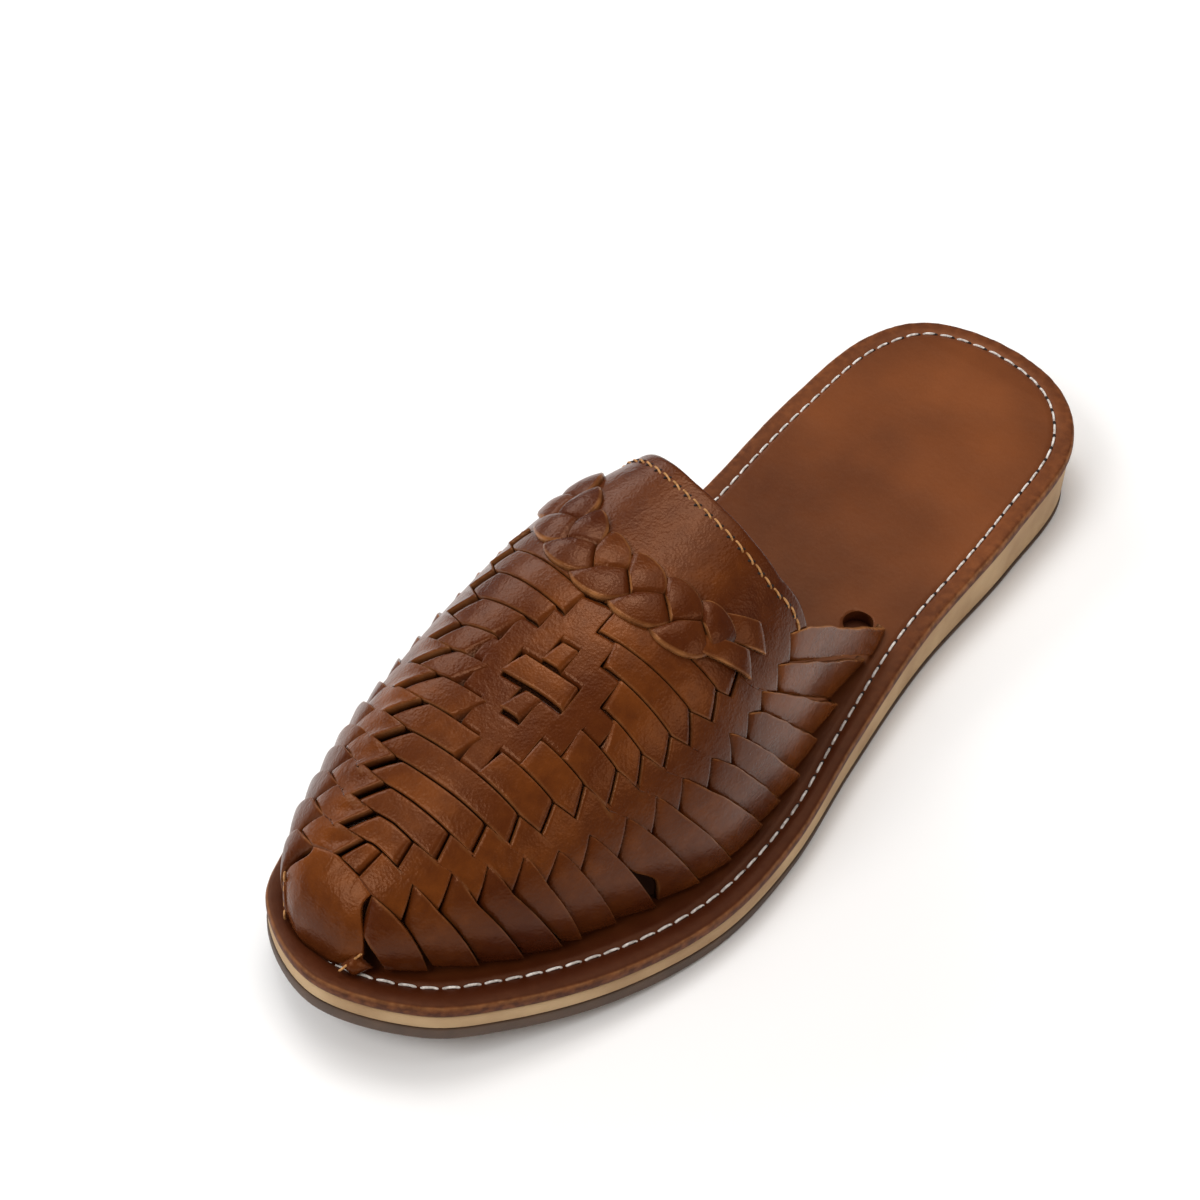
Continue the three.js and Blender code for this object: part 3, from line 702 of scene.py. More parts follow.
def chart_angle(x, s):
    x, s = np.broadcast_arrays(np.asarray(x, float), np.asarray(s, float))
    flat_x, flat_s = x.ravel(), s.ravel()
    i = np.clip(np.searchsorted(-chart_x, -flat_x) - 1, 0, len(chart_x) - 2)
    t = np.clip((chart_x[i] - flat_x) / (chart_x[i] - chart_x[i + 1]), 0, 1)[:, None]
    arcs = chart_arcs[i] * (1 - t) + chart_arcs[i + 1] * t
    k = np.clip((arcs <= flat_s[:, None]).sum(axis=1) - 1, 0, len(chart_angles) - 2)
    rows = np.arange(len(k))
    low, high = arcs[rows, k], arcs[rows, k + 1]
    share = np.clip((flat_s - low) / np.maximum(high - low, 1e-6), 0, 1)
    return ((k + share) * (math.pi / 180)).reshape(x.shape)


def on_last(x, s, lift):
    return last_point(x, chart_angle(x, s), lift)


# Where the strips run, read off the shoe. Each weave line is the edge between two neighbouring cross
# strips: its outer and inner end (x, s) for the strip in front, its x at the ridge, and its two ends for
# the strip behind.
weave_rows = [
    ((273.0, -1.9), (271.8, 5.5), 272.5, (273.0, -1.9), (271.6, 6.1)),
    ((266.3, -2.6), (266.3, 2.8), 266.0, (266.9, -7.8), (266.7, 11.1)),
    ((260.8, -6.7), (260.2, 5.9), 260.0, (260.8, -13.6), (260.2, 14.2)),
    ((254.7, -12.0), (253.8, 8.6), 254.0, (254.7, -18.9), (253.0, 17.4)),
    ((248.3, -17.2), (247.8, 10.8), 248.0, (248.0, -24.4), (246.0, 20.3)),
    ((242.1, -21.9), (241.3, 13.7), 241.5, (240.8, -28.7), (239.1, 22.6)),
    ((234.9, -26.3), (234.3, 15.2), 235.0, (233.0, -33.0), (232.7, 25.8)),
    ((227.5, -29.3), (227.4, 17.2), 228.0, (226.0, -37.8), (225.4, 27.6)),
    ((220.0, -33.3), (220.8, 18.7), 221.0, (218.2, -40.5), (218.3, 29.1)),
    ((213.6, -35.5), (214.1, 22.2), 214.5, (211.1, -42.8), (210.2, 31.1)),
    ((206.1, -38.1), (206.3, 24.1), 208.0, (203.2, -44.1), (201.9, 31.7)),
    ((199.1, -37.8), (197.8, 26.7), 202.5, (195.2, -44.2), (193.5, 33.0)),
    ((190.2, -39.4), (190.0, 28.0), 196.0, (187.4, -43.3), (186.0, 34.0)),
    ((182.0, -40.0), (182.0, 30.0), 188.5, (182.0, -40.0), (182.0, 30.0)),
]
weave_lines = [{"front": row[:2], "ridge": row[2], "behind": row[3:]} for row in weave_rows]

# The slits where the perimeter straps leave the band: heel-side end, toe-side end and the strap's foot
outer_slit_rows = [
    ((274.1, -6.7), (280.0, -8.6), 278.0),
    ((267.1, -12.6), (273.0, -16.1), 270.9),
    ((259.7, -17.8), (266.3, -21.3), 261.4),
    ((253.3, -23.0), (259.3, -27.4), 252.2),
    ((246.1, -28.3), (252.2, -32.4), 243.4),
    ((239.4, -34.4), (245.0, -38.1), 238.6),
    ((231.9, -38.1), (236.9, -43.9), 229.2),
    ((222.8, -43.0), (227.7, -50.2), 217.6),
    ((214.9, -45.6), (218.6, -53.3), 206.3),
    ((207.7, -48.0), (211.1, -54.8), 195.9),
    ((199.1, -50.6), (202.4, -57.2), 182.5),
    ((191.9, -49.7), (193.6, -58.0), 173.7),
    ((184.1, -50.2), (186.7, -56.1), 164.0),
    ((177.4, -48.9), (179.3, -53.3), 152.0),
    ((169.7, -47.2), (171.5, -54.0), 139.6),
    ((162.4, -43.9), (164.7, -50.6), 123.0),
]
outer_slits = [{"inner": inner, "outer": outer, "foot": foot} for inner, outer, foot in outer_slit_rows]
inner_slit_places = [
    (272.0, 13.0), (265.0, 17.0), (257.5, 20.0), (250.5, 22.0), (244.0, 24.0), (238.0, 28.0), (231.0, 32.0),
    (223.5, 36.0), (215.5, 38.5), (207.5, 40.5), (199.5, 42.0), (192.0, 43.0), (184.5, 43.0), (177.0, 42.0),
    (170.0, 40.0), (162.5, 37.5),
]
inner_slits = [
    {"inner": (x, s), "outer": (x + 3.4, s + 5.5), "foot": slit["foot"]}
    for (x, s), slit in zip(inner_slit_places, outer_slits)
]
collar_edge = [
    (154.6, -48.0), (154.9, -40.0), (157.8, -31.0), (158.2, -20.0), (157.4, -10.0), (155.6, 0.0),
    (153.0, 10.0), (149.8, 20.0), (147.8, 30.0), (147.5, 40.0),
]
last_strap_feet = {-1: 111.0, 1: 113.0}


def skin_to_wall(outer, inner, keep=None):
    """A closed wall between two grids of points, without the cells that aren't kept."""
    rows, columns = outer.shape[:2]
    keep = np.ones((rows - 1, columns - 1), bool) if keep is None else keep
    verts = np.concatenate([outer.reshape(-1, 3), inner.reshape(-1, 3)])
    shift = rows * columns
    faces = []
    padded = np.zeros((rows + 1, columns + 1), bool)
    padded[1:-1, 1:-1] = keep
    for i in range(rows - 1):
        for j in range(columns - 1):
            if not keep[i, j]:
                continue
            a, b = i * columns + j, (i + 1) * columns + j
            ring = (a, b, b + 1, a + 1)
            faces.append(ring)
            faces.append(tuple(v + shift for v in reversed(ring)))
            beyond = (padded[i + 1, j], padded[i + 2, j + 1], padded[i + 1, j + 2], padded[i, j + 1])
            for k in range(4):
                if not beyond[k]:
                    p, q = ring[k], ring[(k + 1) % 4]
                    faces.append((q, p, p + shift, q + shift))
    return verts, faces, shift


def wall_mesh(grid_x, grid_s, lift_top, lift_bottom, keep=None, angles=None):
    """A closed wall over a grid of chart points: outer skin, inner skin and the edges between them."""
    angle = chart_angle(grid_x, grid_s) if angles is None else angles
    return skin_to_wall(last_point(grid_x, angle, lift_top), last_point(grid_x, angle, lift_bottom), keep)


def facing_out(verts, faces):
    """The faces of a closed body, turned over if they point inwards."""
    a, b, c, d = (verts[np.array(faces)[:, k]] for k in range(4))
    volume = np.sum(a * (np.cross(b - a, c - a) + np.cross(c - a, d - a)))
    return faces if volume > 0 else [face[::-1] for face in faces]


class LeatherWork:
    """Gathers many leather strips into one mesh, with how near each point lies to a cut edge."""

    def __init__(self):
        self.verts, self.faces, self.edges, self.tints, self.deeps = [], [], [], [], []
        self.count = 0

    def add(self, verts, faces, edge, tint, deep=None):
        self.verts.append(verts)
        self.faces += [tuple(v + self.count for v in face) for face in facing_out(verts, faces)]
        self.edges.append(edge)
        self.tints.append(np.full(len(verts), tint))
        self.deeps.append(np.zeros(len(verts)) if deep is None else deep)
        self.count += len(verts)

    def piece(self, name, material):
        verts = np.concatenate(self.verts)
        used = np.zeros(len(verts), bool)
        used[[v for face in self.faces for v in face]] = True
        renumber = np.cumsum(used) - 1
        faces = [tuple(renumber[v] for v in face) for face in self.faces]
        kept = {"edge": self.edges, "tint": self.tints, "deep": self.deeps}
        attributes = {key: np.concatenate(values)[used] for key, values in kept.items()}
        piece = make_piece(name, verts[used], faces, material, attributes=attributes)
        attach(piece, "root")
        return piece


def rounded(distance, radius):
    """How far a cut edge drops below the leather's face, at a distance from the edge."""
    t = np.clip(1 - np.asarray(distance) / radius, 0, 1)
    return radius * (1 - np.sqrt(np.maximum(1 - t**2, 0)))


SIDE_STEPS = np.array([0.0, 0.12, 0.35, 0.75])


def across_steps(width):
    """Shares across a strip, crowded at both cut edges."""
    near = SIDE_STEPS / width
    inside = np.linspace(1.3 / width, 1 - 1.3 / width, 4)
    return np.concatenate([near, inside, 1 - near[::-1]])


SHADE_START, SHADE_FULL = -0.95, -2.0


def depth_shade(level):
    """How much painted shade, together with the dark dye that gathers in the gaps, darkens a point that lies
    this low.
    """
    return np.clip((SHADE_START - level) / (SHADE_START - SHADE_FULL), 0, 1)


STRIP_EDGE_RADIUS = 0.28


def strip(work, left, right, lift, thickness, crown, tint, round_ends=(True, True), worn=1.0):
    """A leather strip between two lines of chart points, rounded at its cut edges.
    The lift is given at the left and right edge for each station."""
    left, right, lift = (np.asarray(a, float) for a in (left, right, lift))
    if lift.ndim == 1:
        lift = np.column_stack([lift, lift])
    width = np.median(np.linalg.norm(right - left, axis=1))
    shares = across_steps(max(width, 4.0))
    grid = left[:, None, :] + (right - left)[:, None, :] * shares[None, :, None]
    middle_line = (left + right) / 2
    run = run_along(middle_line)
    to_side = np.minimum(shares, 1 - shares)[None, :] * np.linalg.norm(right - left, axis=1)[:, None]
    to_end = np.full(len(run), 99.0)
    if round_ends[0]:
        to_end = np.minimum(to_end, run)
    if round_ends[1]:
        to_end = np.minimum(to_end, run[-1] - run)
    nearest = np.minimum(to_side, to_end[:, None])
    base = lift[:, :1] * (1 - shares) + lift[:, 1:] * shares
    top = base + crown * (1 - (2 * shares - 1) ** 2) - rounded(nearest, STRIP_EDGE_RADIUS)
    verts, faces, shift = wall_mesh(grid[..., 0], grid[..., 1], top, base - thickness + STRIP_EDGE_RADIUS)
    edge = np.concatenate([np.clip(1.15 - nearest.ravel() / 0.36, 0, 1) * worn, np.full(shift, worn)])
    # painted shade where the strip dives low, and on its underside and cut sides
    deep = np.concatenate([depth_shade(base).ravel(), np.full(shift, 0.5)])
    work.add(verts, faces, edge, tint, deep)


def even_stations(line, count):
    """Points spread along a line of chart points, crowded near both ends."""
    line = np.asarray(line, float)
    run = run_along(line)
    share = np.linspace(0, 1, count)
    ends = np.array([0.15, 0.4, 0.8, 1.3]) / run[-1]
    share = np.unique(np.concatenate([share, ends, 1 - ends]))
    return points_at(share * run[-1], run, line), share


# Upper leather: drum dyed cowhide, rubbed with wax until it shines. The dye is uneven, orange brown on the
# crowns; in the gaps it goes to near black, painted shade with dark dye gathered there, and the cut edges
# show paler fibres where the dye has worn.
upper_leather, tree, surface = new_material(
    "hand_dyed_waxed_cowhide",
    {"IOR": 1.42, "Specular IOR Level": 0.36, "Specular Tint": hex_colour("#ffc096")},
)
place = add_node(tree, "ShaderNodeTexCoord").outputs["Object"]
# Noise in cells a metre: dye clouds of 26 mm, specks of 3 mm, worn patches of 6 mm on the cut edges, rubbed
# patches of 11 mm and dents of 9 mm. Grain is drawn at 1.4 mm and pores at 0.7 mm, coarse enough to show.
cloud, fine, raw_noise, rub, grain, dents = (
    add_node(tree, "ShaderNodeTexNoise", [(place, "Vector")], in_Scale=scale, in_Detail=detail).outputs["Fac"]
    for scale, detail in ((38, 6), (330, 5), (160, 5), (90, 4), (700, 6), (110, 3))
)
pores = add_node(tree, "ShaderNodeTexVoronoi", [(place, "Vector")], in_Scale=1500)
edge, tint, deep = (
    add_node(tree, "ShaderNodeAttribute", attribute_name=name).outputs["Fac"]
    for name in ("edge", "tint", "deep")
)
blend = add_node(tree, "ShaderNodeMath", [(cloud, 0), (tint, 1)], operation="ADD")
speckle = add_node(
    tree, "ShaderNodeMath", [(fine, 0), (blend.outputs[0], 2)], operation="MULTIPLY_ADD", in_1=0.3
)
colour = add_node(
    tree, "ShaderNodeValToRGB", [(speckle.outputs[0], "Fac")],
    stops=[(0.42, "#421a08"), (0.66, "#52260c"), (0.95, "#6e3812")],
).outputs["Color"]
raw_share = add_node(
    tree, "ShaderNodeMapRange", [(raw_noise, "Value")], in_1=0.4, in_2=0.6, in_3=0.3, in_4=0.95
)
raw = add_node(tree, "ShaderNodeMath", [(edge, 0), (raw_share.outputs[0], 1)], operation="MULTIPLY")
# The second mix darkens to near black: painted shade in the gaps and on hidden faces, with dark dye gathered
# there
for share, tone in ((raw.outputs[0], "#a0693c"), (deep, "#1d0a04")):
    colour = add_node(
        tree, "ShaderNodeMix", [(share, 0), (colour, 6)], data_type="RGBA", in_7=hex_colour(tone)
    ).outputs[2]
tree.links.new(colour, surface.inputs["Base Color"])
gloss = add_node(tree, "ShaderNodeMapRange", [(rub, "Value")], in_3=0.16, in_4=0.33)
tree.links.new(gloss.outputs[0], surface.inputs["Roughness"])
bump = add_node(tree, "ShaderNodeBump", [(grain, "Height")], in_Strength=0.4, in_Distance=0.0003)
for height, strength, distance in ((pores.outputs["Distance"], 0.25, 0.0002), (dents, 0.22, 0.0012)):
    bump = add_node(
        tree, "ShaderNodeBump", [(height, "Height"), (bump.outputs["Normal"], "Normal")],
        in_Strength=strength, in_Distance=distance,
    )
tree.links.new(bump.outputs["Normal"], surface.inputs["Normal"])

# Vamp: one sheet of leather that makes the toe tab, the smooth band along both sides and the collar.
# Its inner and outer edges are slit into teeth, and the cross strips run through the slits.

vamp_thickness = 1.8
band_lift = -0.25
weave_count = len(weave_lines) - 1
slit_count = len(outer_slits)
tooth_steps = [0.0, 0.04, 0.08, 0.12, 0.2, 0.35, 0.5, 0.65, 0.8, 0.88, 0.94]
line_numbers = [k + step for k in range(slit_count) for step in tooth_steps] + [float(slit_count)]


def broken_line(points, at):
    return points_at(at, [key for key, point in points], [point for key, point in points])


def band_edges(side):
    """The band's outer and inner edge as broken lines over the strip number, on one side of the shoe."""
    slits = outer_slits if side < 0 else inner_slits
    end = 0 if side < 0 else 1
    outer = []
    for k, slit in enumerate(slits):
        outer.append((k, slit["inner"]))
        if k + 1 < slit_count:
            outer.append((k + 0.12, slits[k + 1]["outer"]))
    corner_point = collar_edge[0] if side < 0 else collar_edge[-1]
    outer.append((slit_count, corner_point))
    inner = []
    for k in range(weave_count):
        inner.append((k, weave_lines[k]["behind"][end]))
        inner.append((k + 0.94, weave_lines[k + 1]["front"][end]))
    inner.append((weave_count, weave_lines[weave_count]["front"][end]))
    rear = collar_edge[2] if side < 0 else collar_edge[-2]
    inner.append((slit_count, rear))
    return outer, inner


at = np.array(line_numbers)
edges = {side: band_edges(side) for side in (-1, 1)}
lines = {side: [broken_line(points, at) for points in edges[side]] for side in (-1, 1)}
band_shares = np.array([0, 0.03, 0.08, 0.16, 0.3, 0.5, 0.7, 0.84, 0.92, 0.97, 1.0])
centre_shares = np.linspace(0, 1, 31)[1:-1]
outer_line, inner_line = lines[-1]
lateral_part = outer_line[:, None] + (inner_line - outer_line)[:, None] * band_shares[None, :, None]
far_outer, far_inner = lines[1]
centre_part = inner_line[:, None] + (far_inner - inner_line)[:, None] * centre_shares[None, :, None]
medial_part = far_inner[:, None] + (far_outer - far_inner)[:, None] * band_shares[None, :, None]
vamp_grid = np.concatenate([lateral_part, centre_part, medial_part], axis=1)

# Behind the weave the grid's lines bend to follow the collar's edge
edge_line = np.array(collar_edge)
collar_start = weave_count
for i, number in enumerate(line_numbers):
    if number > collar_start:
        wanted = np.interp(vamp_grid[i, :, 1], edge_line[:, 1], edge_line[:, 0])
        front = np.interp(vamp_grid[i, :, 1], [-40, 0, 30], [183, 189, 183])
        straight = front + (wanted - front) * (number - collar_start) / (slit_count - collar_start)
        inside = np.ones(vamp_grid.shape[1])
        edge_count = len(band_shares)
        inside[:edge_count] = band_shares
        inside[-edge_count:] = 1 - band_shares
        vamp_grid[i, :, 0] = vamp_grid[i, :, 0] * (1 - inside) + straight * inside

columns = vamp_grid.shape[1]
keep = np.ones((len(at) - 1, columns - 1), bool)
weave_columns = slice(len(band_shares) - 1, columns - len(band_shares))
keep[at[:-1] < collar_start, weave_columns] = False


def distance_to(points, line):
    """The shortest distance from chart points to a broken line."""
    line = np.asarray(line, float)
    best = np.full(points.shape[:-1], 99.0)
    for a, b in zip(line[:-1], line[1:]):
        run = b - a
        t = np.clip(((points - a) @ run) / max(run @ run, 1e-9), 0, 1)
        best = np.minimum(best, np.linalg.norm(points - (a + t[..., None] * run), axis=-1))
    return best


cut_lines = [[point for key, point in edges[side][0]] for side in (-1, 1)]
cut_lines += [[point for key, point in edges[side][1] if key <= collar_start] for side in (-1, 1)]
cut_lines.append(collar_edge)
nearest = np.min([distance_to(vamp_grid, line) for line in cut_lines], axis=0)
tooth_tips = np.array([slit["outer"] for slits in (outer_slits, inner_slits) for slit in slits[1:]])
to_tip = np.min([np.linalg.norm(vamp_grid - tip, axis=-1) for tip in tooth_tips], axis=0)
lift = band_lift - 0.35 * np.clip(1 - to_tip / 5, 0, 1) - rounded(nearest, 0.3)
collar_rise = np.clip((at - collar_start) / 1.5, 0, 1)[:, None] * 0.35
lift = lift + collar_rise
# the collar's edge is folded under, so it is thick and round
to_fold = distance_to(vamp_grid, collar_edge)
lift = lift - (rounded(to_fold, 1.4) - rounded(to_fold, 0.3))
# on the inner side the band's edge is lifted by each cross strip that passes under it
far_cut = distance_to(vamp_grid, [point for key, point in edges[1][1] if key <= collar_start])
lift = lift + 0.7 * np.exp(-((far_cut / 1.7) ** 2)) * (at < collar_start)[:, None]
vamp = LeatherWork()
verts, faces, shift = wall_mesh(
    vamp_grid[..., 0], vamp_grid[..., 1], lift, band_lift - vamp_thickness, keep
)
worn = np.where(at > collar_start + 0.5, 0.0, 0.35)[:, None] * np.clip(1 - nearest / 0.3, 0, 1)
edge_values = np.concatenate([worn.ravel(), np.full(shift, 0.2)])
# painted shade along the band's cut edges, with their dark dye, and on the sheet's underside and sides, the
# collar's folded edge among them
cut_shade = 0.3 * np.clip(1 - nearest / 0.3, 0, 1) * (at < collar_start)[:, None]
collar_share = np.clip(at - collar_start, 0, 1)[:, None] * np.ones(columns)
vamp_tint = np.tile(0.05 - 0.13 * collar_share.ravel(), 2)
vamp.add(verts, faces, edge_values, vamp_tint, np.concatenate([cut_shade.ravel(), np.full(shift, 0.75)]))

# The toe tab runs on from the first line, forwards and down to the insole around the toe
rear = vamp_grid[0]
rear_angles = chart_angle(rear[:, 0], rear[:, 1])
forward = np.linspace(0, 1, 26)[:, None] ** 0.9
across_tab = 2 * (rear_angles - rear_angles[0]) / (rear_angles[-1] - rear_angles[0]) - 1
side_foot = np.where(across_tab < 0, 281.4, 277.5)
front_x = side_foot + (tip_x - 0.2 - side_foot) * (1 - np.abs(across_tab) ** 1.6)
front_angles = np.where(across_tab < 0, 0.0, math.pi)
even_x = np.polyval(np.polyfit(across_tab, rear[:, 0], 2), across_tab)
even_angles = np.polyval(np.polyfit(across_tab, rear_angles, 1), across_tab)
fading = (1 - forward) ** 7
tab_x = even_x + (front_x - even_x) * forward + (rear[:, 0] - even_x) * fading
tab_angles = even_angles + (front_angles - even_angles) * forward**3 + (rear_angles - even_angles) * fading
side_distance = np.minimum(np.arange(columns), np.arange(columns)[::-1])[None, :] * 0.5
even_lift = band_lift * (1 - forward) + (-0.1 - rounded(side_distance, 0.6)) * forward
tab_lift = even_lift + (lift[0] - even_lift) * fading
verts, faces, shift = wall_mesh(
    tab_x[::-1], None, tab_lift[::-1], band_lift - vamp_thickness, angles=tab_angles[::-1]
)
vamp.add(verts, faces, np.concatenate([np.zeros(shift), np.full(shift, 0.5)]), 0.16)
vamp_piece = vamp.piece("vamp_sheet", upper_leather)

# Both ends of the tab are folded under and held with a few tan stitches; each fold stands out as a lump
fold_corners = {
    "outer": [(284.3, -1.6, 24.4), (280.9, -0.2, 27.0), (279.9, 3.9, 23.6), (283.9, 1.7, 22.8)],
    "inner": [(277.1, -25.1, 30.5), (276.6, -23.7, 30.5), (281.4, -19.3, 23.5), (280.5, -22.4, 22.5)],
}
folds = LeatherWork()
fold_seams = {}
for name, corners in fold_corners.items():
    a, b, c, d = (np.array(p) for p in corners)
    u, v = np.meshgrid(np.linspace(0, 1, 12), np.linspace(0, 1, 12), indexing="ij")
    u, v = u[..., None], v[..., None]
    sheet = (a * (1 - u) + b * u) * (1 - v) + (d * (1 - u) + c * u) * v
    normal = np.cross(b - a, d - a)
    normal *= (1 if normal @ (0.7, 0.2, 0.7) > 0 else -1) / np.linalg.norm(normal)
    bulge = (np.sin(math.pi * u) * np.sin(math.pi * v)) ** 0.5
    verts, faces, shift = skin_to_wall(sheet + normal * 1.5 * bulge, sheet - normal * 1.0)
    folds.add(verts, faces, np.concatenate([np.zeros(shift), np.full(shift, 0.5)]), 0.05)
    fold_seams[name] = (a, b, c, d, normal)
folds.piece("toe_tab_folds", upper_leather)

# Perimeter straps: the ends of the cross strips. Each comes out of its slit in the band, runs down the
# side, bends in at the bottom and goes through the insole. Its heel-side edge lies over the next strap.

strap_thickness = 1.6
foot_turn = 1.6
slit_dive, slit_reach = 1.5, 2.2
strap_sag = 0.25
toe_edge_level, heel_edge_level = -1.15, 0.4
flare_height = 3.0
last_strap_raise = 3.4
strap_draw = random.Random(11)
straps = LeatherWork()
for side, slits in ((-1, outer_slits), (1, inner_slits)):
    feet = [slit["foot"] for slit in slits] + [last_strap_feet[side]]
    for k, slit in enumerate(slits):
        here = slit["foot"]
        following = feet[k + 1]
        heel_top = slits[k + 1]["outer"] if k + 1 < slit_count else collar_edge[0 if side < 0 else -1]
        here -= 2.0 if k == slit_count - 1 else 0.0
        toe_foot = (here, float(half_arc(here, side)))
        heel_foot = (following, float(half_arc(following, side)))
        gap = {1: 0.9, 4: 0.7}.get(k, 0.25) if side < 0 else 0.25
        toe_line, share = even_stations([slit["outer"], toe_foot], 22)
        reach = np.linalg.norm(np.array(heel_top) - slit["inner"])
        reach_down = np.linalg.norm(np.array(heel_foot) - heel_top)
        knee = reach / (reach + reach_down)
        heel_line = points_at(share, [0, knee, 1], [slit["inner"], heel_top, heel_foot])
        toe_line[:, 0] -= 0.1 + gap * share**2.5
        # the raw edges towards the heel are cut less evenly
        wave = strap_draw.uniform(0, 2 * math.pi)
        waviness = np.interp(k, [7, 12, 15], [0.0, 0.22, 0.4]) * np.sin(math.pi * share)
        heel_line[:, 0] += waviness * (np.sin(14 * share + wave) + 0.6 * np.sin(31 * share + 2 * wave))
        length = np.linalg.norm(np.array(toe_foot) - slit["outer"])
        from_slit = share * length
        to_foot = (1 - share) * length
        dive = slit_dive * np.clip(1 - from_slit / slit_reach, 0, 1) ** 2
        turn = np.clip(1 - to_foot / foot_turn, 0, 1)
        tuck_in = foot_turn * (1 - np.sqrt(np.maximum(1 - turn**2, 0)))
        sag = strap_sag * np.sin(math.pi * share)
        toe_lift = toe_edge_level - dive - tuck_in + sag + strap_draw.uniform(-0.1, 0.1)
        heel_lift = heel_edge_level - dive * 0.8 - tuck_in + sag + strap_draw.uniform(-0.15, 0.15)
        flare = flare_height * np.interp(k, [6, 9, 11, 13, 15], [0, 0.5, 0.8, 0.45, -0.3]) * share**1.5
        toe_lift = toe_lift + flare
        heel_lift = heel_lift + flare
        if side < 0 and k == slit_count - 1:
            toe_lift = toe_lift + last_strap_raise * share**1.5
        # nothing overlaps the first strap's front edge, so it lies as high as its other edge
        toe_lift = toe_lift + {0: 1.5, 1: 0.7}.get(k, 0.0) * np.clip(share * 3, 0, 1)
        # two straps of the outer side spread apart and leave a dark open gap between them
        if side < 0 and k == 7:
            toe_line[:, 0] -= 2.4 * np.sin(math.pi * np.clip(share, 0, 1) ** 1.6) ** 2
        if side < 0 and k == 6:
            heel_line[:, 0] += 1.1 * np.clip((share - 0.35) / 0.65, 0, 1)
            heel_lift = heel_lift + 0.5 * np.clip((share - 0.3) / 0.5, 0, 1)
        ordered = (toe_line, heel_line) if side < 0 else (heel_line, toe_line)
        lifts = (toe_lift, heel_lift) if side < 0 else (heel_lift, toe_lift)
        strip(
            straps, ordered[0], ordered[1], np.column_stack(lifts), strap_thickness,
            crown=0.15, tint=strap_draw.uniform(-0.07, 0.07) + float(np.interp(k, [3, 10], [-0.12, 0.13])),
            round_ends=(True, False),
            worn=float(np.interp(k, [6, 11, 14, 15], [0.3, 0.75, 0.8, 1.4])),
        )
straps.piece("perimeter_straps", upper_leather)

# Cross strips: thirteen strips woven from side to side. They pass over the vamp's long strips where the
# pattern shows them, dive under it at each gap, and go through the band's slits at both ends.

cross_thickness = 1.6
# stretches down the wall where the long strips lie on top, by row from the toe
long_over = {
    5: [(-8.5, -2.6)],
    6: [(-14.5, 3.0)],
    7: [(-20.5, -8.5), (-3.0, 9.0)],
    8: [(-26.0, -14.5), (3.0, 12.0)],
    9: [(-20.5, -8.5), (-3.0, 9.0)],
    10: [(-14.5, 3.0)],
    11: [(-8.5, 0.0)],
}


def line_x(k, s):
    """x of weave line k at a distance s down the wall."""
    line = weave_lines[k]
    outer_end, inner_end = line["behind"]
    front_outer, front_inner = line["front"]
    keys = [outer_end[1], front_outer[1], 0.0, front_inner[1], inner_end[1]]
    places = [outer_end[0], front_outer[0], line["ridge"], front_inner[0], inner_end[0]]
    rows = sorted({round(key, 2): place for key, place in zip(keys, places)}.items())
    return np.interp(s, [key for key, place in rows], [place for key, place in rows])


cross_draw = random.Random(3)
cross = LeatherWork()
cross_gap = 0.2
PATTERN_MIDDLE = -5.7
UNDER_LEVEL, OVER_RISE = -2.4, 2.35
for k in range(weave_count):
    toe_ends, heel_ends = weave_lines[k]["behind"], weave_lines[k + 1]["front"]
    longest = toe_ends[1][1] - toe_ends[0][1]
    share = np.linspace(0, 1, max(int(longest / 0.9), 12))
    near_ends = np.array([0.15, 0.4, 0.8]) / longest
    share = np.unique(np.concatenate([share, near_ends, 1 - near_ends]))
    toe_s = toe_ends[0][1] + longest * share
    heel_s = heel_ends[0][1] + (heel_ends[1][1] - heel_ends[0][1]) * share
    in_middle = np.clip(1 - np.abs((toe_s + heel_s) / 2 - PATTERN_MIDDLE) / 9, 0, 1) ** 0.3
    narrow = cross_gap + 0.45 * in_middle * (k in (7, 8, 9))
    toe_line = np.column_stack([line_x(k, toe_s) - narrow, toe_s])
    heel_line = np.column_stack([line_x(k + 1, heel_s) + narrow, heel_s])
    middle_s = (toe_s + heel_s) / 2
    to_gap = np.full(len(share), 99.0)
    for low, high in long_over.get(k, []):
        inside = (middle_s > low) & (middle_s < high)
        to_span = np.minimum(np.abs(middle_s - low), np.abs(middle_s - high))
        to_gap = np.where(inside, -to_span, np.minimum(to_gap, to_span))
    to_end = np.minimum(share, 1 - share) * longest
    to_far_end = (1 - share) * longest
    over = np.minimum(np.clip((to_gap + 0.35) / 0.9, 0, 1), np.clip(share * longest / 1.8, 0, 1))
    over = over * (2 - over)
    over = np.minimum(over, np.clip(to_far_end / min(3.2, 0.2 * longest), 0, 1) ** 1.5)
    level = UNDER_LEVEL + OVER_RISE * over + cross_draw.uniform(-0.08, 0.08)
    strip(
        cross, heel_line[::-1], toe_line[::-1], level[::-1], cross_thickness,
        crown=0.14, tint=cross_draw.uniform(-0.03, 0.08), worn=0.3,
    )
cross.piece("cross_strips", upper_leather)

# Long strips: the middle of the vamp shows between the cross strips as a smooth cross of leather.
# It is one sheet with slits, level with the band where it lies on top and pressed down under each strip.

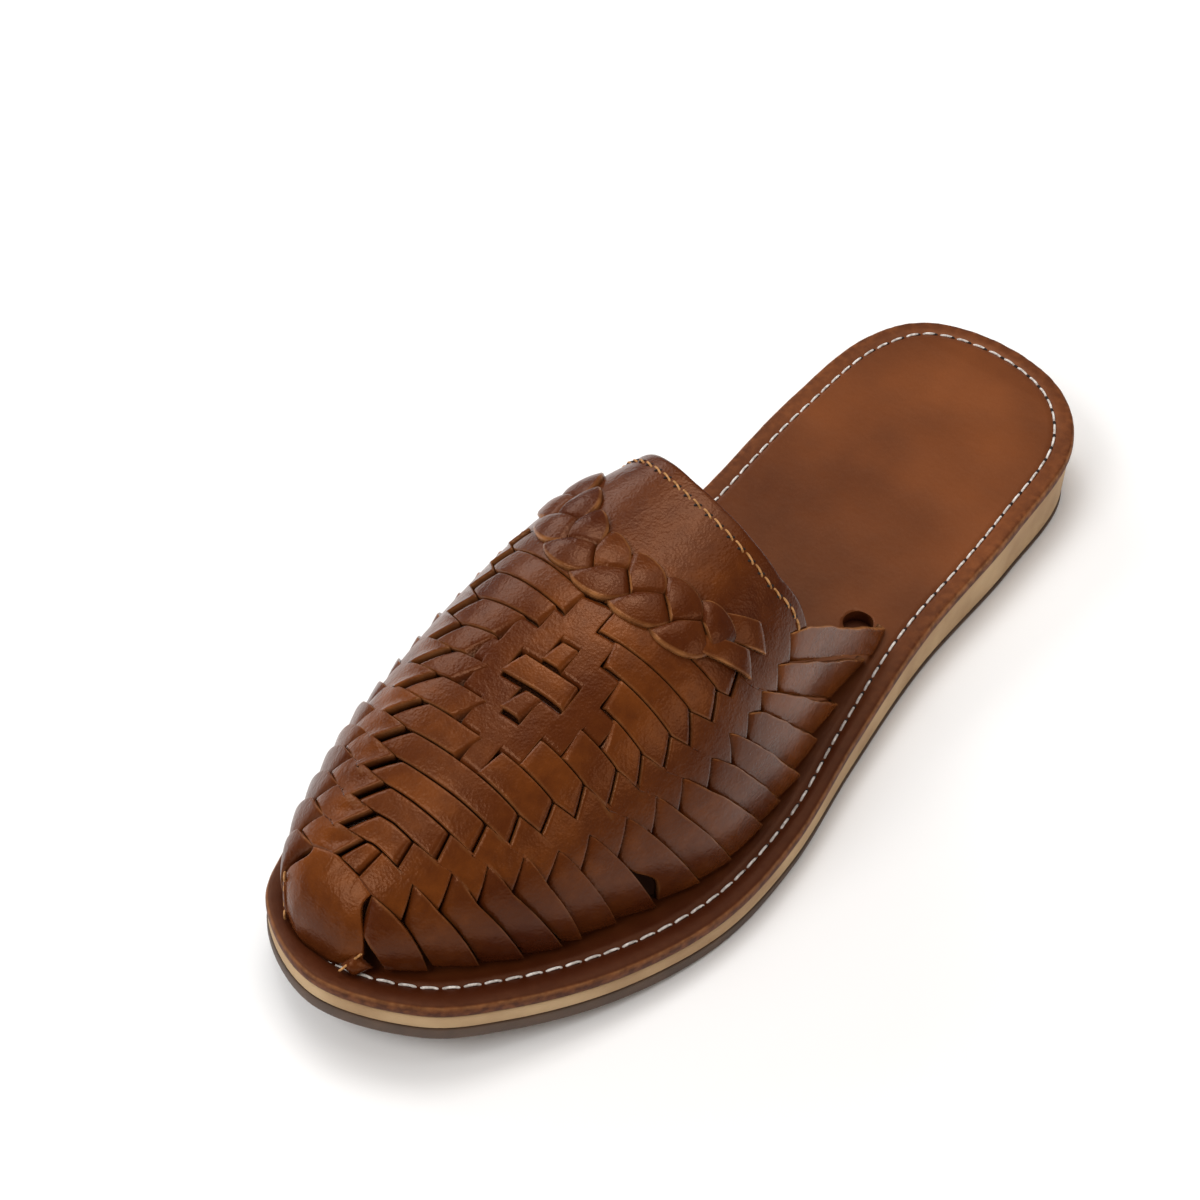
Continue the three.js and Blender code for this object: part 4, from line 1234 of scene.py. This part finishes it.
long_level = -0.4
columns_s = sorted({s for spans in long_over.values() for span in spans for s in span} | {-3.0})
fine_s = []
for low, high in zip(columns_s[:-1], columns_s[1:]):
    width = high - low
    steps = [0.0, 0.12, 0.35, 0.8] if width > 2 else [0.0]
    fine_s += [low + step for step in steps] + [low + width / 2]
    fine_s += [high - step for step in reversed(steps[1:])]
fine_s.append(columns_s[-1])
fine_s = np.array(sorted(set(np.round(fine_s, 3))))
row_steps = np.array([0, 0.05, 0.12, 0.22, 0.35, 0.5, 0.65, 0.78, 0.88, 0.95])
first_row, last_row = min(long_over), max(long_over)
row_numbers = np.concatenate([k + row_steps for k in range(first_row, last_row + 1)] + [[last_row + 1]])
grid_s = np.tile(fine_s, (len(row_numbers), 1))
grid_x = np.empty_like(grid_s)
for i, number in enumerate(row_numbers):
    k = min(int(number), last_row)
    share = number - k
    grid_x[i] = line_x(k, fine_s) * (1 - share) + line_x(k + 1, fine_s) * share


def is_over(row, s):
    return any(low - 0.01 < s < high + 0.01 for low, high in long_over.get(row, []))


middles = (fine_s[:-1] + fine_s[1:]) / 2
keep = np.array([[is_over(int(number), s) for s in middles] for number in row_numbers[:-1]])
level = np.full(grid_s.shape, long_level)
cut_distance = np.full(grid_s.shape, 99.0)
for i, number in enumerate(row_numbers):
    k = min(int(number), last_row)
    for j, s in enumerate(fine_s):
        pitch = abs(float(line_x(k, s) - line_x(k + 1, s)))
        before, after = (number - k) * pitch, (k + 1 - number) * pitch
        reach = 99.0
        if not is_over(k - 1, s):
            reach = min(reach, before)
        if not is_over(k + 1, s):
            reach = min(reach, after)
        if number == k and not is_over(k, s):
            reach = 0.0
        level[i, j] -= 1.1 * np.clip(1 - reach / 1.0, 0, 1) ** 2
        spans = list(long_over.get(k, []))
        if number == k:
            spans += long_over.get(k - 1, [])
        for low, high in spans:
            if low - 0.01 <= s <= high + 0.01:
                cut_distance[i, j] = min(cut_distance[i, j], s - low, high - s)
level -= rounded(np.maximum(cut_distance, 0), 0.3)
verts, faces, shift = wall_mesh(grid_x, grid_s, level, -3.2, keep)
long_work = LeatherWork()
edge_values = np.concatenate([np.clip(1 - cut_distance.ravel() / 0.3, 0, 1) * 0.3, np.full(shift, 0.3)])
# painted shade where the sheet is pressed down under the cross strips, and on its underside and sides
deep = np.concatenate([depth_shade(level).ravel(), np.full(shift, 0.6)])
long_work.add(verts, faces, edge_values, -0.06, deep)
long_work.piece("long_strips", upper_leather)

# Braid: three flat strips of the same leather plaited across the instep, over the joint of weave and
# collar. Each strip turns at an edge and crosses over to the middle, which leaves two rows of leaf-shaped
# scales, and its cut outer rim shows paler fibres. The strips end as two flat tails on the outer side.

braid_pitch = 10.8
middle_swing = 2.35
row_lag = 4.7
end_room = 3.0
braid_low, braid_high = 0.5, 2.0
braid_rows = [(179.5, -37.5), (184.8, -29.3), (187.6, -18.0), (188.2, -8.0), (187.6, 2.0), (185.0, 10.0),
              (180.0, 18.0), (173.5, 24.0), (167.0, 30.0), (160.0, 36.0)]
braid_path = smooth_path(braid_rows[::-1], False, 30)
braid_run = run_along(braid_path)
braid_length = braid_run[-1]


def on_braid(t, w):
    """Chart point at a distance t along the braid from its inner end, w from its middle to the collar."""
    t, w = np.broadcast_arrays(np.asarray(t, float), np.asarray(w, float))
    place = points_at(t, braid_run, braid_path)
    ahead = points_at(t + 1, braid_run, braid_path) - points_at(t - 1, braid_run, braid_path)
    size = np.hypot(ahead[..., 0], ahead[..., 1])
    return place[..., 0] + w * ahead[..., 1] / size, place[..., 1] - w * ahead[..., 0] / size


def braid_scale(work, first, turn, last, side, tint):
    """One scale: its inner edge runs from first to turn, its end from turn to last, and its rim round the
    outside. The points are (t, w), and side is 1 on the collar's side and -1 on the toe's."""
    first, turn, last = (np.array(p, float) for p in (first, turn, last))
    outer_start = first + (-3.2, 4.5 * side)
    rim = smooth_path(
        [outer_start, first + (-0.9, 5.6 * side), first + (1.8, 5.9 * side), first + (5.0, 5.4 * side),
         first + (7.6, 4.3 * side), last + (-1.0, 2.2 * side), last], False, 5,
    )
    steps = 22
    rim_run = run_along(rim)
    u = np.linspace(0, 1, steps)
    rim = points_at(u * rim_run[-1], rim_run, rim)
    inner = first + (turn - first) * u[:, None]
    v = np.array([0, 0.02, 0.05, 0.12, 0.25, 0.4, 0.55, 0.7, 0.82, 0.9, 0.95, 0.98, 1.0])
    bow = (1 - v) ** 0.8
    grid = inner[:, None] * bow[None, :, None] + rim[:, None] * (1 - bow)[None, :, None]
    x, s = on_braid(grid[..., 0], grid[..., 1])
    width = np.linalg.norm(rim - inner, axis=1)[:, None]
    to_side = np.minimum(v * width, (1 - v) * width)
    arch = np.sin(math.pi * np.clip(u * 0.86 + 0.1, 0, 1)) ** 0.8
    climb = np.clip(u / 0.12, 0, 1) * (1 - np.clip((u - 0.9) / 0.1, 0, 1))
    top = braid_low + (braid_high - braid_low) * (0.35 + 0.65 * arch[:, None]) * (1 - 0.35 * v**3)
    top = top + 0.25 * np.sin(math.pi * v) - 0.9 * (1 - climb[:, None]) * (1 - 0.4 * v)
    top = top - rounded(to_side, 0.32)
    order = slice(None, None, -1) if side > 0 else slice(None)
    verts, faces, shift = wall_mesh(x[:, order], s[:, order], top[:, order], -0.9)
    edge = np.concatenate([np.clip(1 - to_side[:, order].ravel() / 0.3, 0, 1), np.ones(shift)])
    # painted shade on the low parts of each scale, and on its underside and sides
    deep = np.concatenate([np.clip((1.1 - top[:, order].ravel()) / 1.2, 0, 1) * 0.8, np.full(shift, 0.5)])
    work.add(verts, faces, edge, tint, deep)


braid = LeatherWork()
braid_draw = random.Random(8)
scale_count = int(braid_length / braid_pitch)
for k in range(scale_count):
    start = braid_length - end_room - (scale_count - k) * braid_pitch
    upper = (start, middle_swing)
    lower = (start + row_lag, -middle_swing)
    upper_next = (start + braid_pitch, middle_swing)
    lower_next = (start + row_lag + braid_pitch, -middle_swing)
    braid_scale(braid, upper, lower, upper_next, 1, braid_draw.uniform(-0.14, 0.02))
    if k < scale_count - 1:
        braid_scale(braid, lower, upper_next, lower_next, -1, braid_draw.uniform(-0.14, 0.02))

# The tails: the plait's last strips lie flat and go through short slits in the band
for near_end, far_end, high in (
    (((181.6, -31.5), (179.9, -24.0)), ((173.4, -41.7), (170.5, -34.9)), 1.3),
    (((195.0, -20.5), (187.5, -24.5)), ((181.2, -43.0), (178.0, -37.4)), 1.9),
):
    near_end, far_end = np.array(near_end), np.array(far_end)
    share = np.concatenate([np.linspace(0, 0.8, 9), [0.88, 0.93, 0.97, 1.0]])[:, None]
    toe_line = near_end[0] + (far_end[0] - near_end[0]) * share
    heel_line = near_end[1] + (far_end[1] - near_end[1]) * share
    level = 0.2 + high * np.clip(share[:, 0] * 1.6, 0, 1) - 0.5 * np.clip((share[:, 0] - 0.9) / 0.1, 0, 1)
    strip(braid, toe_line, heel_line, level, 1.8, crown=0.15, tint=0.05)
braid_piece = braid.piece("braid_strands", upper_leather)
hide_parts("braid")
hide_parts("upper")

# Tan thread: a line of slanting backstitches holds the collar's folded edge, and short bars of the same
# thread hold the folded ends of the toe tab.

tan_thread = thread_material("waxed_tan_linen_thread", "#8a5a24", "#c8925a")
collar_stitch_inset = 4.4
seam = smooth_path(collar_edge, False, 12)
seam[:, 0] += collar_stitch_inset
seam = seam[(seam[:, 1] > -45) & (seam[:, 1] < 39)]
seam_points = on_last(seam[:, 0], seam[:, 1], 0.15)
ups = on_last(seam[:, 0], seam[:, 1], 1.15) - seam_points
stitch_pitch = 3.6
collar_seam = sew(
    "collar_stitches", seam_points, ups, False, tan_thread,
    pitch=stitch_pitch, length=3.0, thread=0.28, rise=0.36, slant=math.radians(-12),
)
run = run_along(seam_points)
from_here = np.searchsorted(run, stitch_pitch / 2)
collar_holes = sew(
    "collar_needle_holes", seam_points[from_here:] - ups[from_here:] * 0.05, ups[from_here:], False,
    hole_shadow,
    pitch=stitch_pitch, length=1.8, thread=0.32, rise=0.16, slant=math.radians(48),
)
for name, (a, b, c, d, normal) in fold_seams.items():
    outer_ends = (a * 0.8 + d * 0.2, b * 0.8 + c * 0.2)
    inner_ends = (a * 0.6 + b * 0.4, d * 0.6 + c * 0.4)
    line = outer_ends if name == "outer" else inner_ends
    line = line[0] + (line[1] - line[0]) * np.linspace(0.02, 0.98, 20)[:, None] + normal * 0.85
    fold_seam = sew(
        f"{name}_fold_stitches", line, np.tile(normal, (20, 1)), False, tan_thread,
        pitch=2.6, length=2.1, thread=0.28, rise=0.4,
    )
